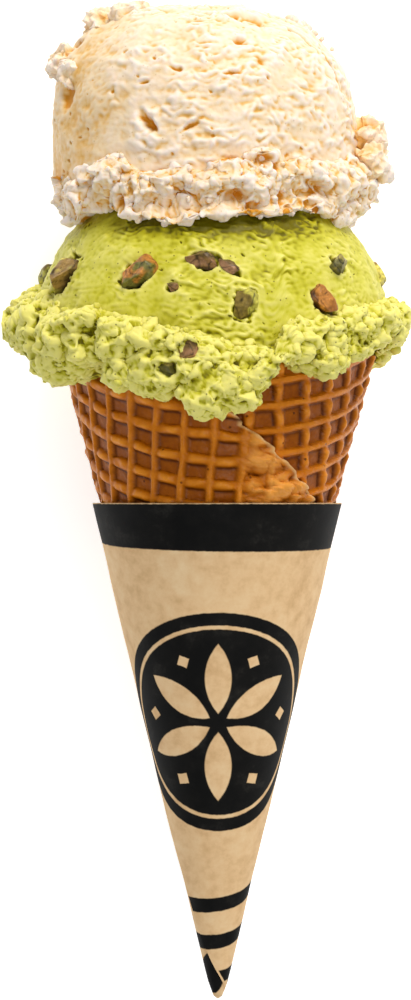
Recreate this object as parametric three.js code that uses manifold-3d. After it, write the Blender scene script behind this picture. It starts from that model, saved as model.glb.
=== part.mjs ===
// An ice cream cone with two scoops, laid on its back: a rolled waffle cone in a paper sleeve,
// a pistachio scoop with a thick torn skirt and nut pieces, and a vanilla scoop on top of it.
//
// Millimetres, +Z up. The cone's axis is level and runs along +Y, from the tip to the scoops,
// and the side that was served to the front faces up. Heights below are measured along the axis
// from the apex of the sleeve's cone, azimuths round it from the top (+Z) towards +X.
import * as THREE from 'three';
import { mergeVertices } from 'three/addons/utils/BufferGeometryUtils.js';
import Module from 'manifold-3d';

const wasm = await Module();
wasm.setup();

// ---- driving dimensions -------------------------------------------------------------------

const GAP = 0.3; // left between neighbouring pieces
const AXIS_ABOVE_REST = 36; // the scoops are pressed flat this far behind the axis

const SLEEVE_SLOPE = 0.2383; // radius gained for each millimetre of height
const SLEEVE_TOP = 107.9;
const TIP = 3.9;
const PAPER = 0.4;
const PAPER_LAP = { thickness: 0.4, turn: -70 }; // the outer edge of the paper, and its fade to the right

const RIM = 138.5;
const TIP_FOLD = 9; // below this the sleeve's folded tip is solid paper, and above it the wafer starts
const WAFER_SLOPE = 0.268; // above the sleeve the wafer flares a little more
const GRID = { ridge: 1.45, depth: 1.3, draft: 0.3 };
const WAFER_LAP = { thickness: 1.1, turn: 55, clear: 2.6 }; // its free end fades to the left
const WAFER_EDGE = { azimuth: 8, height: 124.9, wind: 2.56 }; // its azimuth at a height, and degrees gained a mm down

const PISTACHIO = new THREE.Vector3(-1.2, 141.9, 0);
const PISTACHIO_RADIUS = 38.2;
const VANILLA = new THREE.Vector3(-2.8, 183, -1.5);
const VANILLA_SIDE = 32.3;
const VANILLA_TOP = 28.9;

// ---- shared helpers -----------------------------------------------------------------------

const { degToRad, radToDeg, lerp, clamp, smoothstep, seededRandom } = THREE.MathUtils;

function solidOf(geometry) {
  const bare = geometry.clone();
  bare.deleteAttribute('normal');
  bare.deleteAttribute('uv');
  const merged = mergeVertices(bare, 1e-4);
  return new wasm.Manifold(new wasm.Mesh({
    numProp: 3,
    vertProperties: merged.attributes.position.array,
    triVerts: new Uint32Array(merged.index.array),
  }));
}

function meshOf(name, solid, finish) {
  const { vertProperties, triVerts } = solid.getMesh();
  const geometry = new THREE.BufferGeometry();
  geometry.setAttribute('position', new THREE.BufferAttribute(vertProperties, 3));
  geometry.setIndex(new THREE.BufferAttribute(triVerts, 1));
  geometry.computeVertexNormals();
  const mesh = new THREE.Mesh(geometry, new THREE.MeshStandardMaterial(finish));
  mesh.name = name;
  return mesh;
}

// A point at a radius, azimuth (degrees) and height.
function place(radius, azimuth, height) {
  const turn = degToRad(azimuth);
  return new THREE.Vector3(radius * Math.sin(turn), height, radius * Math.cos(turn));
}

// A value that changes smoothly round the axis, through [azimuth, value] pairs in rising order.
function roundTheAxis(pairs) {
  const first = pairs[0][0];
  const loop = [...pairs, [first + 360, pairs[0][1]]];
  return (azimuth) => {
    const turned = first + THREE.MathUtils.euclideanModulo(azimuth - first, 360);
    const next = Math.max(1, loop.findIndex(([angle]) => angle > turned));
    const [from, low] = loop[next - 1];
    const [to, high] = loop[next];
    return lerp(low, high, smoothstep(turned, from, to));
  };
}

function revolve(profile, segments) {
  return solidOf(new THREE.LatheGeometry(profile.map(([r, h]) => new THREE.Vector2(r, h)), segments));
}

// ---- paper sleeve and rolled wafer: the cones ---------------------------------------------

const SLEEVE_SIDES = 48;
const WAFER_SIDES = 32;
const sleeveRadius = (height) => SLEEVE_SLOPE * height;

function waferRadius(height) {
  const inSleeve = sleeveRadius(Math.min(height, SLEEVE_TOP)) - PAPER - GAP;
  return inSleeve + WAFER_SLOPE * Math.max(0, height - SLEEVE_TOP);
}

// A thin wedge laid on a cone: full thickness along its edge, fading to nothing round the cone, to
// the left where turn is positive. edge(height) is the azimuth of the edge, and grow makes the wedge
// fatter on every side. Its rows lie closer together towards the apex, as its edge winds faster there.
function lap({ radius, edge, from, to, thickness, turn, sink, steps, grow = 0 }) {
  const corners = [];
  for (const outer of [true, false]) {
    for (let i = 0; i <= steps.along; i++) {
      for (let j = 0; j <= steps.across; j++) {
        const height = (from - grow) * ((to + grow) / (from - grow)) ** (i / steps.along);
        const fade = j / steps.across;
        const lift = outer ? thickness * (1 - fade) + grow + 0.02 : -sink;
        const azimuth = edge(height) + Math.sign(turn) * radToDeg(grow / radius(height)) - turn * fade;
        corners.push(...place(radius(height) + lift, azimuth, height).toArray());
      }
    }
  }
  const row = steps.across + 1;
  const layer = row * (steps.along + 1);
  const faces = [];
  const quad = (a, b, c, d) => faces.push(a, b, c, a, c, d);
  for (let i = 0; i < steps.along; i++) {
    for (let j = 0; j < steps.across; j++) {
      const a = i * row + j;
      quad(a, a + row, a + row + 1, a + 1);
      quad(layer + a, layer + a + 1, layer + a + row + 1, layer + a + row);
    }
    for (const [j, turned] of [[0, false], [steps.across, true]]) {
      const a = i * row + j;
      if (turned) quad(a, a + row, layer + a + row, layer + a);
      else quad(a, layer + a, layer + a + row, a + row);
    }
  }
  for (let j = 0; j < steps.across; j++) {
    const a = steps.along * row + j;
    quad(j, j + 1, layer + j + 1, layer + j);
    quad(a, layer + a, layer + a + 1, a + 1);
  }
  const geometry = new THREE.BufferGeometry();
  geometry.setAttribute('position', new THREE.Float32BufferAttribute(corners, 3));
  geometry.setIndex(turn > 0 ? faces : faces.reverse());
  return solidOf(geometry);
}

// The paper's outer edge is straight on the flat blank, so it winds round the cone: it starts
// under the tip, crosses the front low down and ends behind the left side at the top.
function paperEdge(height) {
  const lean = 23.5; // degrees between the edge and the front's centre line on the blank
  const offset = 3.9; // how far the edge passes from the apex, on the blank
  const half = Math.atan(SLEEVE_SLOPE);
  const onBlank = height / Math.cos(half);
  const angle = lean - radToDeg(Math.asin(clamp(offset / onBlank, -1, 1)));
  return -angle / Math.sin(half);
}

function paperSleeve() {
  const wall = PAPER / Math.cos(Math.atan(SLEEVE_SLOPE));
  const shell = revolve([
    [0, TIP],
    [0.6, TIP + 0.5],
    [sleeveRadius(TIP_FOLD) * 0.82, TIP_FOLD - 1.4],
    [sleeveRadius(TIP_FOLD + 1), TIP_FOLD + 1],
    [sleeveRadius(SLEEVE_TOP), SLEEVE_TOP],
    [sleeveRadius(SLEEVE_TOP) - wall, SLEEVE_TOP],
    [sleeveRadius(TIP_FOLD) - wall, TIP_FOLD],
    [0, TIP_FOLD],
  ], SLEEVE_SIDES);
  const outerEdge = lap({
    radius: sleeveRadius, edge: paperEdge, from: TIP_FOLD, to: SLEEVE_TOP, sink: PAPER / 2,
    steps: { along: 12, across: 7 }, ...PAPER_LAP,
  });
  return shell.add(outerEdge);
}

// ---- rolled wafer: the baked grid ---------------------------------------------------------

// The wafer is a flat round sheet with a square-cornered grid, rolled up. Its free edge comes
// down over the front to the right. On the sheet, a and b are distances along the grid's lines.
const SHEET_TURN = Math.sin(Math.atan(SLEEVE_SLOPE)); // sheet angle for each angle round the cone
const SHEET_SLANT = 1 / Math.cos(Math.atan(SLEEVE_SLOPE));
const SHEET_LEAN = 5;
const GRID_LEFT = { a: 6.27, b: 5.05, aShift: 0.88, bShift: 0.42 };
const GRID_RIGHT = { a: 5.07, b: 6.5, aShift: 0.66, bShift: 0.48 };

const waferEdge = (height) => WAFER_EDGE.azimuth + WAFER_EDGE.wind * (WAFER_EDGE.height - height);

function waferLapAt(azimuth, height) {
  const past = waferEdge(height) - azimuth;
  return past < 0 ? 0 : WAFER_LAP.thickness * Math.max(0, 1 - past / WAFER_LAP.turn);
}

// Azimuths run back from the free edge, once round under the sheet's own end.
function gridAt(azimuth) {
  const mix = smoothstep(-azimuth, 80, 280);
  const blend = (key) => lerp(GRID_LEFT[key], GRID_RIGHT[key], mix);
  return { a: blend('a'), b: blend('b'), aShift: blend('aShift'), bShift: blend('bShift') };
}

// The middle of cell (i, j): the grid's pitch changes slowly round the cone, so it is closed in on.
function cellAt(i, j) {
  let azimuth = -60;
  let cell;
  for (let pass = 0; pass < 40; pass++) {
    const grid = gridAt(azimuth);
    const a = (i + 0.5 - grid.aShift) * grid.a;
    const b = (j + 0.5 - grid.bShift) * grid.b;
    const found = (radToDeg(Math.atan2(a, b)) + SHEET_LEAN) / SHEET_TURN;
    azimuth = lerp(azimuth, found, 0.5);
    cell = { azimuth, height: Math.hypot(a, b) / SHEET_SLANT, a: grid.a, b: grid.b };
  }
  return cell;
}

// One cell's hollow: a four-sided cup with slanting walls, narrower at its floor.
function cellHollow({ azimuth, height, a, b }) {
  const proud = 1;
  const tall = GRID.depth + proud;
  const widest = Math.SQRT1_2;
  const slant = GRID.draft * tall;
  const cup = new THREE.CylinderGeometry(widest, widest, tall, 4, 1);
  cup.rotateY(Math.PI / 4);
  const corners = cup.attributes.position;
  for (let k = 0; k < corners.count; k++) {
    const pull = corners.getY(k) < 0 ? 2 * slant : 0;
    corners.setX(k, corners.getX(k) * (a - GRID.ridge + proud * GRID.draft * 2 - pull));
    corners.setZ(k, corners.getZ(k) * (b - GRID.ridge + proud * GRID.draft * 2 - pull));
  }
  cup.translate(0, tall / 2 - GRID.depth, 0);
  const lean = Math.atan(WAFER_SLOPE);
  const out = place(Math.cos(lean), azimuth, -Math.sin(lean));
  const up = place(Math.sin(lean), azimuth, Math.cos(lean));
  const round = new THREE.Vector3().crossVectors(up, out);
  const onSheet = degToRad(SHEET_LEAN - azimuth * SHEET_TURN);
  const alongA = round.clone().multiplyScalar(Math.cos(onSheet)).addScaledVector(up, -Math.sin(onSheet));
  const alongB = new THREE.Vector3().crossVectors(alongA, out);
  const middle = place(waferRadius(height) + waferLapAt(azimuth, height), azimuth, height);
  cup.applyMatrix4(new THREE.Matrix4().makeBasis(alongA, out, alongB).setPosition(middle));
  return solidOf(cup);
}

function waferBody(grow) {
  const foot = TIP_FOLD + 2 * GAP;
  return revolve([
    [0, foot - grow],
    [waferRadius(foot) + grow, foot - grow],
    [waferRadius(SLEEVE_TOP) + grow, SLEEVE_TOP],
    [waferRadius(RIM) + grow, RIM + grow],
    [0, RIM + grow],
  ], WAFER_SIDES).add(lap({
    radius: waferRadius, edge: waferEdge, from: SLEEVE_TOP + 2 * GAP, to: RIM - GAP, sink: 0.6, grow,
    steps: { along: 6, across: 4 }, ...WAFER_LAP,
  }));
}

function waffleCone() {
  let cone = waferBody(0);
  const underSkirt = 1; // cells further up than this past the skirt's foot can't be seen
  for (let i = -30; i <= 5; i++) {
    for (let j = -2; j <= 30; j++) {
      const cell = cellAt(i, j);
      const past = waferEdge(cell.height) - cell.azimuth;
      const onSheet = past > 0 && past < 360;
      const reach = (cell.a + cell.b) / 4 + WAFER_LAP.clear;
      const clear = radToDeg(reach / waferRadius(cell.height));
      const shownTo = pistachioFoot(cell.azimuth) + underSkirt;
      const onCone = cell.height > SLEEVE_TOP + 1 && cell.height < shownTo;
      const offEdge = past > clear && past < 360 - clear / 2;
      if (onSheet && onCone && offEdge) cone = cone.subtract(cellHollow(cell));
    }
  }
  return cone;
}

// ---- scoops: domes with torn skirts -------------------------------------------------------

// Seeded round lumps. They lift a surface by the height of the tallest lump over each point.
function lumpField(seed, count, middle, [smallest, largest]) {
  seededRandom(seed);
  const lumps = Array.from({ length: count }, () => {
    const radius = lerp(smallest, largest, seededRandom());
    return { centre: middle(seededRandom(), seededRandom()), radius };
  });
  return (point) => lumps.reduce((tallest, { centre, radius }) => {
    const rest = 1 - centre.distanceToSquared(point) / radius ** 2;
    return rest > 0 ? Math.max(tallest, radius * Math.sqrt(rest)) : tallest;
  }, 0);
}

// A scoop is a ball seen from its centre: a dome down to the skirt's top, a swelling skirt down
// to its foot, and a level underside. Each part has its own rows, so its edges stay crisp.
function scoopBall({ centre, dome, top, foot, out, lift, columns, rows, floor }) {
  const total = rows.dome + rows.skirt + rows.under;
  const ball = new THREE.SphereGeometry(1, columns, total);
  const corners = ball.attributes.position;
  const rise = 0.34; // share of the skirt over which it swells out
  const turnIn = 0.72; // and from which it rounds under
  for (let k = 0; k < corners.count; k++) {
    const azimuth = radToDeg(Math.atan2(corners.getX(k), corners.getZ(k)));
    const row = Math.round(Math.acos(clamp(corners.getY(k), -1, 1)) / Math.PI * total);
    const topAngle = Math.acos((top(azimuth) - centre.y) / dome(azimuth, Math.PI / 3));
    const { radius, height } = foot(azimuth);
    const footAngle = Math.atan2(radius, height - centre.y);
    const footFar = Math.hypot(radius, height - centre.y);
    let polar;
    let far;
    if (row <= rows.dome) {
      polar = topAngle * row / rows.dome;
      far = dome(azimuth, polar);
    } else if (row <= rows.dome + rows.skirt) {
      const share = (row - rows.dome) / rows.skirt;
      polar = lerp(topAngle, footAngle, share);
      const swell = Math.sin(Math.PI / 2 * Math.min(1, share / rise));
      const swollen = lerp(dome(azimuth, polar), out(azimuth), swell);
      const under = clamp((share - turnIn) / (1 - turnIn), 0, 1);
      far = lerp(swollen, footFar, 1 - Math.sqrt(1 - under ** 2));
    } else {
      const share = (row - rows.dome - rows.skirt) / rows.under;
      polar = lerp(footAngle, Math.PI, share);
      far = lerp((height - centre.y) / Math.cos(polar), floor, share);
    }
    const point = place(far * Math.sin(polar), azimuth, far * Math.cos(polar)).add(centre);
    const inSkirt = row > rows.dome && row <= rows.dome + rows.skirt + 1;
    point.add(place(Math.sin(polar), azimuth, Math.cos(polar)).multiplyScalar(lift(point, inSkirt)));
    corners.setXYZ(k, ...point.toArray());
  }
  return solidOf(ball);
}

// The table side is pressed flat.
function pressFlat(solid) {
  const size = 400;
  const table = new THREE.BoxGeometry(size, size, size);
  table.translate(0, RIM, -AXIS_ABOVE_REST - size / 2);
  return solid.subtract(solidOf(table));
}

// ---- pistachio scoop ----------------------------------------------------------------------

const pistachioTop = roundTheAxis([
  [-180, 149], [-130, 153], [-95, 153], [-66, 151.4], [-54, 146.8], [-38, 147.7], [-27, 145.5],
  [-8, 142.6], [8, 140.2], [18, 138.3], [25, 144.2], [40, 145.9], [65, 149.2], [88, 150.4], [130, 150],
]);
const pistachioFoot = roundTheAxis([
  [-180, 131], [-150, 134.5], [-125, 133.5], [-100, 139.5], [-84, 139.5], [-76, 138.5], [-70, 133.5],
  [-62, 132.2], [-50, 132.6], [-36, 134], [-28, 129.8], [-18, 127.3], [-12, 128.2], [-2, 124.4],
  [9, 127], [14, 127.4], [21, 136.2], [37, 131.8], [48, 136], [70, 139.4], [95, 140.5], [120, 137],
  [150, 130],
]);
const pistachioOut = roundTheAxis([
  [-180, 38.6], [-130, 40.5], [-92, 42.4], [-60, 41.2], [-20, 42], [10, 41.6], [24, 39.6], [45, 41],
  [88, 39.4], [135, 39],
]);

// Chopped nut pieces: where each lies on the ball, its length, width and how it is turned.
const SHOWN_NUTS = [
  { azimuth: -61, height: 154.8, long: 12, wide: 6.8, turn: 70, proud: 0.8 },
  { azimuth: -26, height: 153.8, long: 8.2, wide: 5.6, turn: 35 },
  { azimuth: -2.5, height: 156.7, long: 6.6, wide: 3.8, turn: -8 },
  { azimuth: -12.5, height: 150.9, long: 2.6, wide: 2, turn: 0 },
  { azimuth: 6, height: 154.7, long: 4.6, wide: 2.2, turn: -35 },
  { azimuth: 9.7, height: 147.3, long: 7.6, wide: 4.8, turn: 75 },
  { azimuth: 47, height: 156.3, long: 5.6, wide: 4.2, turn: 12 },
  { azimuth: 37, height: 148.4, long: 7.6, wide: 3.8, turn: -48 },
  { azimuth: -6.8, height: 138.6, long: 5, wide: 4, turn: 20, proud: 4.4 },
  { azimuth: -12.4, height: 135.3, long: 5, wide: 3.4, turn: -10, proud: 4.6 },
];

function hiddenSideNuts() {
  const count = 9;
  seededRandom(41);
  return Array.from({ length: count }, (_, k) => ({
    azimuth: 75 + 200 * (k + 0.5) / count,
    height: lerp(150, 161, seededRandom()),
    long: lerp(4.5, 8.5, seededRandom()),
    wide: lerp(3, 5, seededRandom()),
    turn: lerp(-80, 80, seededRandom()),
  }));
}

function nutPiece({ azimuth, height, long, wide, turn, proud = 0 }) {
  const chip = new THREE.IcosahedronGeometry(1);
  chip.scale(long / 2, wide / 2, wide / 2);
  chip.rotateZ(degToRad(turn));
  const up = (height - PISTACHIO.y) / PISTACHIO_RADIUS;
  const out = place(Math.sqrt(1 - up ** 2), azimuth, up);
  const across = place(1, azimuth + 90, 0);
  const along = new THREE.Vector3().crossVectors(out, across);
  const sunk = 0.3; // how deep its middle lies, in widths
  const middle = PISTACHIO.clone().addScaledVector(out, PISTACHIO_RADIUS + proud - wide * sunk);
  chip.applyMatrix4(new THREE.Matrix4().makeBasis(across, along, out).setPosition(middle));
  return solidOf(chip);
}

function pistachioScoop(envelope) {
  const sway = (point) => 0.35 * Math.sin(point.x * 0.22 + point.y * 0.13) * Math.sin(point.z * 0.19);
  const lumps = lumpField(7, 96, (turn, share) => {
    const azimuth = 360 * turn;
    const height = lerp(pistachioFoot(azimuth) + 1, pistachioTop(azimuth) - 2, share);
    const far = pistachioOut(azimuth) - 1;
    const up = height - PISTACHIO.y;
    const aside = new THREE.Vector3(PISTACHIO.x, 0, 0);
    return place(Math.sqrt(far ** 2 - up ** 2), azimuth, height).add(aside);
  }, [3, 5.4]);
  let scoop = scoopBall({
    centre: PISTACHIO,
    dome: () => PISTACHIO_RADIUS - 0.4,
    top: pistachioTop,
    foot: (azimuth) => {
      const height = pistachioFoot(azimuth);
      return { radius: waferRadius(height) + 4.4, height };
    },
    out: pistachioOut,
    lift: (point, inSkirt) => (inSkirt ? 0.85 * lumps(point) - 1.5 : sway(point)),
    columns: 72,
    rows: { dome: 7, skirt: 8, under: 2 },
    floor: 10,
  });
  for (const nut of [...SHOWN_NUTS, ...hiddenSideNuts()]) scoop = scoop.add(nutPiece(nut));
  return pressFlat(scoop.subtract(envelope));
}

// ---- vanilla scoop ------------------------------------------------------------------------

const vanillaTop = roundTheAxis([
  [-180, 178], [-140, 176], [-90, 175.6], [-50, 175.6], [-35, 178.2], [-24, 174.6], [0, 175.3],
  [10, 176.6], [22, 179.8], [32, 177.3], [55, 177], [70, 179.3], [90, 186], [110, 181], [150, 176.5],
]);
const vanillaFoot = roundTheAxis([
  [-180, 165], [-150, 167], [-115, 167], [-85, 170.2], [-60, 165.4], [-46, 167], [-22, 164.8],
  [-11, 162.3], [2, 165], [28, 164.8], [43, 166.2], [58, 165], [84, 169], [120, 165.5], [150, 167],
]);
const vanillaOut = roundTheAxis([
  [-180, 36.2], [-130, 34.4], [-90, 31.2], [-45, 33.8], [0, 34.6], [45, 35], [86, 35.6], [110, 35.5],
  [150, 35.6],
]);

// The dome is squarer on its left, where the scoop was pulled along the tub's wall.
const squareness = roundTheAxis([
  [-180, 2.3], [-135, 2.7], [-90, 3.2], [-50, 2.7], [0, 2.3], [90, 2.5], [135, 2.3],
]);

function vanillaDome(azimuth, polar) {
  const power = squareness(azimuth);
  const across = Math.abs(Math.sin(polar)) / VANILLA_SIDE;
  const up = Math.abs(Math.cos(polar)) / VANILLA_TOP;
  return (across ** power + up ** power) ** (-1 / power);
}

// Torn clumps that stand up from the dome's left shoulder, its crown and the skirt's right end.
const CLUMPS = [
  { x: -24.6, height: 206.2, z: 3, radius: 4.6 },
  { x: -18.6, height: 207.6, z: 6, radius: 3.6 },
  { x: -31.2, height: 201.4, z: 2, radius: 3.6 },
  { x: -29.6, height: 199.2, z: 9, radius: 3.2 },
  { x: 3.4, height: 207.2, z: 6, radius: 3.6 },
  { x: 32, height: 184.6, z: 3, radius: 3.8 },
  { x: 32.4, height: 178.5, z: 6, radius: 4 },
];

// Each clump is a few flat-sided chips that lean at random.
function tornClumps() {
  const chipsEach = 3;
  const spread = 0.42; // how far a chip's middle may be off the clump's, in clump radii
  seededRandom(57);
  const draw = (low, high) => lerp(low, high, seededRandom());
  return CLUMPS.flatMap(({ x, height, z, radius }) => Array.from({ length: chipsEach }, () => {
    const chip = new THREE.IcosahedronGeometry(radius);
    chip.scale(draw(0.55, 0.8), draw(0.7, 0.95), draw(0.6, 0.85));
    chip.rotateZ(draw(0, Math.PI));
    chip.rotateX(draw(0, Math.PI));
    const off = () => radius * draw(-spread, spread);
    chip.translate(x + off(), height + off(), z + off());
    return solidOf(chip);
  }));
}

// The skirt's lower edge hangs just clear of the ball below, whose middle is off this one's.
function vanillaFootRing(azimuth) {
  const clear = 1.8;
  const height = vanillaFoot(azimuth);
  const ballRadius = Math.sqrt((PISTACHIO_RADIUS + clear) ** 2 - (height - PISTACHIO.y) ** 2);
  const aside = PISTACHIO.clone().sub(VANILLA).dot(place(1, azimuth, 0));
  return { radius: ballRadius + aside, height };
}

function vanillaScoop(seat) {
  const sway = (point) => 0.4 * Math.sin(point.x * 0.2 + point.z * 0.11) * Math.sin(point.y * 0.17);
  const lumps = lumpField(23, 84, (turn, share) => {
    const azimuth = 360 * turn;
    const height = lerp(vanillaFoot(azimuth) + 1, vanillaTop(azimuth) - 2, share);
    const aside = new THREE.Vector3(VANILLA.x, 0, VANILLA.z);
    return place(vanillaOut(azimuth) - 2.4, azimuth, height).add(aside);
  }, [2.6, 4.6]);
  let scoop = scoopBall({
    centre: VANILLA,
    dome: vanillaDome,
    top: vanillaTop,
    foot: vanillaFootRing,
    out: vanillaOut,
    lift: (point, inSkirt) => (inSkirt ? 0.85 * lumps(point) - 1.4 : sway(point)),
    columns: 64,
    rows: { dome: 7, skirt: 6, under: 2 },
    floor: 10,
  });
  for (const clump of tornClumps()) scoop = scoop.add(clump);
  return pressFlat(scoop.subtract(seat));
}

// ---- the cone -----------------------------------------------------------------------------

function seatUnderVanilla() {
  const ball = new THREE.SphereGeometry(PISTACHIO_RADIUS + 2 * GAP, 24, 18);
  ball.translate(PISTACHIO.x, PISTACHIO.y, PISTACHIO.z);
  return solidOf(ball);
}

const VANILLA_CREAM = { color: '#f4e2c0', roughness: 0.55, metalness: 0 };
const PISTACHIO_CREAM = { color: '#c6c257', roughness: 0.5, metalness: 0 };
const BAKED_WAFER = { color: '#9c5a1c', roughness: 0.6, metalness: 0 };
const KRAFT_PAPER = { color: '#d6b487', roughness: 0.8, metalness: 0 };

const iceCreamCone = new THREE.Group();
iceCreamCone.add(
  meshOf('vanilla_scoop', vanillaScoop(seatUnderVanilla()), VANILLA_CREAM),
  meshOf('pistachio_scoop', pistachioScoop(waferBody(GAP)), PISTACHIO_CREAM),
  meshOf('waffle_cone', waffleCone(), BAKED_WAFER),
  meshOf('paper_sleeve', paperSleeve(), KRAFT_PAPER),
);

// The origin is under the middle of the whole cone, on the surface that it lies on.
const box = new THREE.Box3().setFromObject(iceCreamCone);
const middle = box.getCenter(new THREE.Vector3());
iceCreamCone.children.forEach((piece) => piece.geometry.translate(-middle.x, -middle.y, -box.min.z));

export default iceCreamCone;
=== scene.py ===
# %% [markdown]
# # An ice cream cone, laid on its back
# Two scoops, pistachio below and vanilla above, stand in a rolled waffle cone, and the cone sits in a
# printed paper sleeve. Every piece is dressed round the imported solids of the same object, in metres and
# in their frame, and stands for one of them.

# %% Set up
import itertools
import math

import bpy
import numpy as np
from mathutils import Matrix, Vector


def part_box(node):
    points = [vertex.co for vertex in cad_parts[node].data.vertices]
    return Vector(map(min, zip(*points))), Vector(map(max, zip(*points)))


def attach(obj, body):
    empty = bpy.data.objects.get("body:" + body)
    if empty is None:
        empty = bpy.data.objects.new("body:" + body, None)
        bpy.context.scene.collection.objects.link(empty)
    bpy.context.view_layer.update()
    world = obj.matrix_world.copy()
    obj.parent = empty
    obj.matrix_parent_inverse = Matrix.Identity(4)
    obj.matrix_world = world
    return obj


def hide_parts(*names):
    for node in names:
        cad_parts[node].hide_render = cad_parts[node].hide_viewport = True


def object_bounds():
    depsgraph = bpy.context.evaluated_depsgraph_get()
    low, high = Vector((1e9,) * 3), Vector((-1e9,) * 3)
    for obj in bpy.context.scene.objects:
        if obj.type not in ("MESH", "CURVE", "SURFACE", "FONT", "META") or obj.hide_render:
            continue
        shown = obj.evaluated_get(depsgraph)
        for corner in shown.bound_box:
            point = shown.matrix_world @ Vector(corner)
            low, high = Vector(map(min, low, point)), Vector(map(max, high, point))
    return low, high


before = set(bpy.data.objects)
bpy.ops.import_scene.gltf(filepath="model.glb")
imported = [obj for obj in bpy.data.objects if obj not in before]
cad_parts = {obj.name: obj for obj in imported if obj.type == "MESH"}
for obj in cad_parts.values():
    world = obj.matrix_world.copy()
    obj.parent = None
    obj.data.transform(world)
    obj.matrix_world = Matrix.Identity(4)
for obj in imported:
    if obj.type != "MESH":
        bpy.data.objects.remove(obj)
cad_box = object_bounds()
MM = 0.001
DETAIL = 1.0
print("solids:", sorted(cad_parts))

# %% [markdown]
# ## The cone's own coordinates
# Everything here is turned round one axis, so sizes are easiest to give as a height above the point
# where the sleeve would end, an azimuth round the axis (0 faces up, 90 faces +X) and a radius, all in
# millimetres. The sleeve's solid says where that axis lies in the frame.

# %% Heights, azimuths and the frame
SLEEVE_SLOPE = 0.2383
SLEEVE_TOP = 107.9
TIP = 3.9
AXIS_HEIGHT = 36
sleeve_low, sleeve_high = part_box("paper_sleeve")
AXIS = np.array([sleeve_high.x / MM - SLEEVE_SLOPE * SLEEVE_TOP, sleeve_low.y / MM - TIP, AXIS_HEIGHT])


def place(radius, azimuth, height):
    """Points at a radius, an azimuth in degrees and a height, in millimetres round the cone's axis."""
    turn = np.radians(azimuth)
    return np.stack(np.broadcast_arrays(radius * np.sin(turn), height, radius * np.cos(turn)), axis=-1)


def smooth(value, low, high):
    share = np.clip((value - low) / (high - low), 0, 1)
    return share * share * (3 - 2 * share)


def blend(low, high, share):
    return low + (high - low) * share


def round_the_axis(pairs):
    """A value that changes smoothly round the axis, through (azimuth, value) pairs in rising order."""
    angles = np.array([angle for angle, _ in pairs] + [pairs[0][0] + 360], float)
    values = np.array([value for _, value in pairs] + [pairs[0][1]], float)

    def at(azimuth):
        turned = angles[0] + np.mod(np.asarray(azimuth, float) - angles[0], 360)
        after = np.clip(np.searchsorted(angles, turned, side="right"), 1, len(angles) - 1)
        return blend(values[after - 1], values[after], smooth(turned, angles[after - 1], angles[after]))

    return at


print("axis in the frame, mm:", AXIS.round(2))

# %% [markdown]
# ## Noise for things that tear, melt and crumble
# Frozen cream never repeats, and its bumps come in several sizes at once. Two kinds of noise make
# them: one drifts smoothly up and down, and one splits space into rounded cells, as in popcorn. Both
# are worked out from a point's place alone, so they give the same surface each time.


# %% A number for each cell of space
def hashed(cells, seed):
    """A fixed whole number for each cell of a three-dimensional grid."""
    x, y, z = (cells[..., k].astype(np.uint32) for k in range(3))
    mixed = x * np.uint32(0x8DA6B343) ^ y * np.uint32(0xD8163841) ^ z * np.uint32(0xCB1AB31F)
    mixed = (mixed + np.uint32(seed * 7919 + 1)) * np.uint32(0x9E3779B1)
    mixed = (mixed ^ (mixed >> np.uint32(15))) * np.uint32(0x85EBCA6B)
    return mixed ^ (mixed >> np.uint32(13))


some_points = place(30, np.arange(0, 360, 5), 100)  # a ring of points to try things on
print("numbers of two cells:", hashed(some_points[:2].astype(np.int32), 0) & 15)

# %% Drifting noise
SLOPES = [slope for slope in itertools.product((-1, 0, 1), repeat=3) if np.abs(slope).sum() == 2]
SLOPES = np.array(SLOPES + [(1, 1, 0), (-1, 1, 0), (0, -1, 1), (0, -1, -1)], np.float32)


def noise(points, size, seed=0):
    """Smooth noise from about -1 to 1, whose bumps are `size` millimetres across."""
    scaled = (points / size).astype(np.float32)
    cell = np.floor(scaled).astype(np.int32)
    part = scaled - cell
    fade = part ** 3 * (part * (part * 6 - 15) + 10)
    total = np.zeros(points.shape[:-1], np.float32)
    for corner in itertools.product((0, 1), repeat=3):
        step = np.array(corner)
        slope = SLOPES[hashed(cell + step, seed) & 15]
        near = np.prod(np.where(step, fade, 1 - fade), axis=-1)
        total += near * np.sum(slope * (part - step), axis=-1)
    return total * 1.3


drifting = noise(some_points, 4)
print("drifting noise on a ring:", drifting.min().round(2), "to", drifting.max().round(2))


# %% Cell noise
def cells(points, size, seed=0):
    """Each point's distance to the nearest cell centre, in cells, and a number from 0 to 1 for that cell."""
    scaled = (points / size).astype(np.float32)
    cell = np.floor(scaled).astype(np.int32)
    part = scaled - cell
    nearest = np.full(points.shape[:-1], 9, np.float32)
    owner = np.zeros(points.shape[:-1], np.uint32)
    for corner in itertools.product((-1, 0, 1), repeat=3):
        mixed = hashed(cell + np.array(corner), seed)
        spot = np.stack([(mixed >> np.uint32(shift)) & np.uint32(1023) for shift in (0, 10, 20)], -1) / 1023
        away = np.sqrt(np.sum((np.array(corner) + spot.astype(np.float32) - part) ** 2, axis=-1))
        owner = np.where(away < nearest, mixed, owner)
        nearest = np.minimum(nearest, away)
    return nearest, (owner % np.uint32(997)) / 996


def wander(points, size, seed):
    """A direction for each point, which drifts as the points go by."""
    return np.stack([noise(points, size, seed + k) for k in range(3)], axis=-1)


def drift(points, size, reach, seed):
    """Points moved about by noise, so that what is worked out from them loses its regular shape."""
    return points + reach * wander(points, size, seed)


print("nearest cell centre on that ring:", cells(some_points, 4)[0].mean().round(2), "of a cell away")


# %% Lumps and ridges
def knobs(points, size, seed):
    """Rounded lumps of about `size` mm that touch in narrow creases, from 0 to 1."""
    away, own = cells(drift(points, size * 1.1, size * 0.34, seed + 50), size, seed)
    return np.clip(1 - (away / 0.9) ** 2, 0, 1) ** 0.55 * (0.55 + 0.45 * own)


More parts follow.
